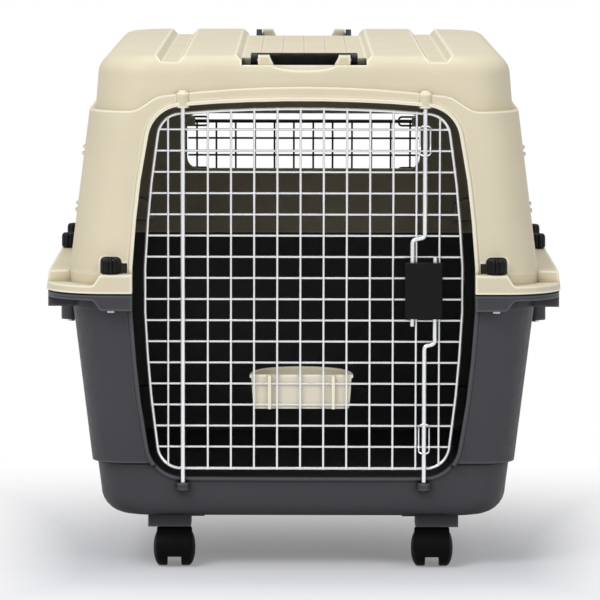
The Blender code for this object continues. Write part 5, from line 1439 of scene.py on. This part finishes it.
def build_feed_bowl():
    """Cream bowl with a rolled rim and two long hooks over a cross wire."""
    _, _, cross_y = grid_planes()
    front_y = cross_y + WIRE_RADIUS + CLEARANCE
    inner_y = front_y + BOWL_WALL
    rim_low = BOWL_RIM_Z - BOWL_RIM * 2.2
    foot_half = BOWL_HALF - BOWL_RIM - BOWL_TAPER
    foot_depth = BOWL_DEPTH - BOWL_RIM - BOWL_TAPER * 2
    ease = BOWL_RIM * 0.4
    levels = [(foot_half - BOWL_FOOT_EASE, foot_depth - 2 * BOWL_FOOT_EASE, BOWL_BOTTOM_Z),
              (foot_half, foot_depth, BOWL_BOTTOM_Z + BOWL_FOOT_EASE),
              (BOWL_HALF - BOWL_RIM, BOWL_DEPTH - BOWL_RIM, rim_low), (BOWL_HALF, BOWL_DEPTH, rim_low + ease),
              (BOWL_HALF, BOWL_DEPTH, BOWL_RIM_Z - ease), (BOWL_HALF - ease, BOWL_DEPTH - ease, BOWL_RIM_Z)]
    body = loft([bowl_outline(half, depth, z, front_y) for half, depth, z in levels])
    mouth = (BOWL_HALF - BOWL_RIM - BOWL_WALL, BOWL_DEPTH - BOWL_RIM - BOWL_WALL * 2)
    cut(body, loft([
        bowl_outline(foot_half - BOWL_WALL, foot_depth - BOWL_WALL * 2, BOWL_BOTTOM_Z + BOWL_WALL, inner_y),
        bowl_outline(*mouth, BOWL_RIM_Z + CUT, inner_y),
    ]))
    seat_z = GRID_FIRST_Z + GRID_PITCH_Z * BOWL_WIRE_ROW + WIRE_RADIUS + CLEARANCE
    strap_y = cross_y - WIRE_RADIUS - CLEARANCE
    front = strap_y - HOOK_THICKNESS
    root_y = front_y + BOWL_WALL / 2
    profile = [(root_y, seat_z), (strap_y, seat_z), (strap_y, BOWL_BOTTOM_Z), (front, BOWL_BOTTOM_Z),
               (front, BOWL_RIM_Z - HOOK_HEAD), (front + HOOK_EASE, BOWL_RIM_Z - HOOK_EASE),
               (front + HOOK_HEAD, BOWL_RIM_Z), (root_y, BOWL_RIM_Z)]
    for side in (-1, 1):
        x = BOWL_X + side * HOOK_OFFSET
        join(body, prism(profile, "YZ", x - HOOK_WIDTH / 2, x + HOOK_WIDTH / 2))
    show(body, "hanging_bowl", "bowl", CREAM_BOWL, "feed_bowl", angle=32)


# Carry handles


def build_handle(end_name, end, drop):
    """U-shaped handle with finger waves, whose arms swing on pins in the posts."""
    y = pivot_y(end)
    inner_x = POST_OUTER + ARM_GAP
    outer_x = inner_x + ARM_THICKNESS
    arm = arc(0, 0, ARM_RADIUS, 90, 270, 16) + [(ARM_LENGTH, -ARM_RADIUS), (ARM_LENGTH, ARM_RADIUS)]
    arm = [(y - end * a, PIVOT_Z + b) for a, b in arm]
    middle = y - end * (ARM_LENGTH + GRIP_DEPTH * 0.1)
    rings = []
    for step in range(GRIP_STEPS + 1):
        x = -outer_x + 2 * outer_x * step / GRIP_STEPS
        wave = GRIP_WAVE * math.cos(4 * math.pi * x / inner_x)
        ring = rounded_rectangle(GRIP_DEPTH / 2 + wave, GRIP_HALF_HEIGHT, GRIP_CORNER, 6)
        rings.append([(x, middle + a, PIVOT_Z + b) for a, b in ring])
    handle = join(both_sides(lambda side: prism(arm, "YZ", side * inner_x, side * outer_x)), loft(rings))
    cut(handle, pin_bores(end, inner_x - CUT, outer_x + CUT, 24))
    pivot = Vector((0, y, PIVOT_Z))
    swing = Matrix.Translation(pivot) @ Matrix.Rotation(end * drop, 4, "X") @ Matrix.Translation(-pivot)
    show(moved_by(handle, swing), f"{end_name}_carry_grip", f"{end_name}_grip", BLACK,
         f"{end_name}_handle", angle=32)


# Knobs


def knob_ring(x, y, share, z):
    """One level of a fluted knob, with round flutes."""
    ring = []
    for step in range(KNOB_POINTS):
        angle = 2 * math.pi * step / KNOB_POINTS
        flute = KNOB_FLUTE_DEPTH * (0.5 - 0.5 * math.cos(angle * KNOB_FLUTES)) ** 2 * share
        radius = share * KNOB_RADIUS - flute
        ring.append((x + radius * math.cos(angle), y + radius * math.sin(angle), z))
    return ring


def build_knobs():
    """Fluted knobs with a rounded top edge and a dished middle."""
    section = ((0.90, 0.0), (0.97, 0.04), (1.0, 0.12), (1.0, 0.66), (0.985, 0.78), (0.95, 0.87), (0.88, 0.95),
               (0.78, 1.0), (0.62, 1.0), (0.56, 0.95), (0.2, 0.93))
    for name, x, y in knob_places():
        knob = loft([knob_ring(x, y, share, KNOB_BASE_Z + KNOB_HEIGHT * height) for share, height in section])
        show(knob, f"{name}_hand_nut", "crate", NUT, f"{name}_knob", angle=50)


# Castors


def wheel_section():
    """Half section of a castor wheel: a flat tread, then a dome with a shallow ring groove round its hub."""
    width = WHEEL_OUTER - WHEEL_INNER
    tread = WHEEL_TREAD - WHEEL_INNER
    ease = WHEEL_EASE
    hub = WHEEL_FACE_RADIUS * 0.55
    groove = HUB_GROOVE
    section = [(AXLE_BORE, 0.0), (WHEEL_RADIUS - ease, 0.0), (WHEEL_RADIUS - ease * 0.3, ease * 0.3),
               (WHEEL_RADIUS, ease)]
    for across, rise in arc(0, 0, 1.0, 0, 70, 12):
        section.append((WHEEL_RADIUS * across, tread + (width - tread) * rise))
    return section + [(hub, width - groove / 2), (hub - groove, width - groove * 2),
                      (hub - groove * 2, width - groove * 2), (hub - groove * 3, width - groove / 2),
                      (0.0, width)]


def build_castor(name, x, stem_y):
    """Hood with its stem and the two wheels; the axle and plate stay as they are."""
    forward = math.copysign(1, stem_y)
    axle_y = stem_y + forward * TRAIL
    axle_z = WHEEL_RADIUS
    inner = WHEEL_RADIUS + HOOD_GAP
    outer = inner + HOOD_SKIN

    def fan(radius):
        return [(axle_y + forward * a, axle_z + b) for a, b in arc(0, 0, radius, *HOOD_SWEEP, 40)]

    section = [(HOOD_HALF, inner), (HOOD_HALF + HOOD_EDGE, inner + HOOD_EDGE), (HOOD_HALF, outer - HOOD_EDGE),
               (HOOD_HALF * 0.7, outer)]
    section += [(-out, radius) for out, radius in reversed(section)]
    turns = zip(*[fan(radius) for _, radius in section])
    hood = loft([[(x + out, *place) for (out, _), place in zip(section, turn)] for turn in turns])
    web = fan((outer + inner) / 2) + [(axle_y, axle_z - AXLE_BORE * 2)]
    join(hood, prism(web, "YZ", x - WEB_HALF, x + WEB_HALF))
    join(hood, upright(x, stem_y, axle_z + WHEEL_RADIUS * 0.75, PLATE_LOW_Z, STEM_RADIUS))
    cut(hood, crossbar(x - WEB_HALF - CUT, x + WEB_HALF + CUT, axle_y, axle_z, AXLE_BORE, 24))
    show(hood, f"{name}_cover", f"{name}_fork", TYRE, f"{name}_hood", angle=32)
    for wheel_name, direction in (("left", -1), ("right", 1)):
        centre = (x + direction * WHEEL_INNER, axle_y, axle_z)
        wheel = turned(wheel_section(), centre, Matrix.Rotation(direction * math.pi / 2, 4, "Y"), 64)
        show(wheel, f"{name}_{wheel_name}_disc", f"{name}_{wheel_name}_roller", TYRE,
             f"{name}_{wheel_name}_wheel", angle=32)


def build_crate():
    """Every piece that stands for a solid, and the finish of those that stay."""
    build_top_shell()
    build_base_shell()
    build_grilles()
    build_door_grid()
    build_hinge_rod()
    build_latch_rods()
    build_latch_case()
    build_latch_springs()
    build_rod_guides()
    build_feed_bowl()
    build_handle("front", -1, 0.0)
    build_handle("rear", 1, REAR_HANDLE_DROP)
    build_knobs()
    for name, _, x, y in castor_places():
        build_castor(name, x, y)
    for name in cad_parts:
        if name.endswith(("_bolt", "_pin", "_axle")):
            dress_node(name, STEEL)
        elif name.endswith("_plate") or name == "latch_back":
            dress_node(name, BLACK)


# Floor, light and camera


def largest(tree, first, *others):
    """Socket with the largest of some values."""
    for other in others:
        first = maths(tree, "MAXIMUM", first, other)
    return first


def ray_share(tree, *kinds):
    """Socket with one for rays of any of these kinds, and zero for the rest."""
    path = add_node(tree, "LightPath", {})
    return largest(tree, *[path.outputs[kind] for kind in kinds])


def make_floor():
    """Pale floor that turns to plain white round the crate and keeps the crate's shadow."""
    mat, tree, shader = new_material("pale_floor")
    fill(tree, shader, {"Base Color": (*FLOOR_COLOUR, 1.0), "Roughness": 0.75, "Specular IOR Level": 0.2})
    white = add_node(tree, "Emission", {"Strength": 1.0})
    place = add_node(tree, "TexCoord", {})
    axes = add_node(tree, "SeparateXYZ", {"Vector": place.outputs["Object"]})
    away = axes.outputs["Y"]
    aside = maths(tree, "ABSOLUTE", axes.outputs["X"])
    glow = largest(tree,
                   in_range(tree, away, FADE_START_Y, FADE_END_Y, FLOOR_GLOW, 1.0, "SMOOTHSTEP"),
                   in_range(tree, away, FRONT_START_Y, FRONT_END_Y, 0.0, FRONT_GLOW, "SMOOTHSTEP"),
                   in_range(tree, aside, SIDE_START_X, SIDE_END_X, 0.0, SIDE_GLOW, "SMOOTHSTEP"))
    seen = ray_share(tree, "Is Camera Ray", "Is Glossy Ray", "Is Transmission Ray")
    mix = add_node(tree, "MixShader", {"Fac": maths(tree, "MULTIPLY", glow, seen),
                                       1: shader.outputs["BSDF"], 2: white.outputs["Emission"]})
    fill(tree, tree.nodes["Material Output"], {"Surface": mix.outputs["Shader"]})
    bm = bmesh.new()
    bmesh.ops.create_grid(bm, x_segments=1, y_segments=1, size=FLOOR_HALF)
    floor = object_from(bm, "floor")
    floor.data.materials.append(mat)
    floor.location.z = -FLOOR_DROP


def make_world():
    """White surroundings for the eye and glass, greyer ones for gloss, and a milder white for light."""
    world = bpy.data.worlds.new("studio")
    bpy.context.scene.world = world
    world.use_nodes = True
    tree = world.node_tree
    seen = ray_share(tree, "Is Camera Ray", "Is Transmission Ray")
    gloss = maths(tree, "MULTIPLY", ray_share(tree, "Is Glossy Ray"), GLOSS_LIGHT)
    strength = largest(tree, in_range(tree, seen, 0.0, 1.0, WORLD_LIGHT, 1.0), gloss)
    fill(tree, tree.nodes["Background"], {"Color": WORLD_COLOUR, "Strength": strength})


def add_lamp(name, place, target, size, power):
    """Square soft box that looks at a point."""
    lamp = bpy.data.lights.new(name, "AREA")
    lamp.shape = "SQUARE"
    lamp.size = size
    lamp.energy = power
    item = add_object(name, lamp)
    item.location = place
    item.rotation_euler = (Vector(target) - Vector(place)).to_track_quat("-Z", "Y").to_euler()


def make_camera():
    """Long lens at the photograph's angle."""
    lens = bpy.data.cameras.new("camera")
    lens.lens = CAMERA_LENS
    lens.sensor_width = CAMERA_SENSOR
    lens.clip_end = CAMERA_REACH
    item = add_object("camera", lens)
    place, target = Vector(CAMERA_PLACE), Vector(CAMERA_TARGET)
    look = (target - place).to_track_quat("-Z", "Y").to_matrix().to_4x4()
    item.matrix_world = Matrix.Translation(place) @ look @ Matrix.Rotation(CAMERA_ROLL, 4, "Z")
    bpy.context.scene.camera = item


build_crate()
make_floor()
make_world()
for lamp_values in LAMPS:
    add_lamp(*lamp_values)
make_camera()
bpy.context.scene.view_settings.view_transform = "Standard"
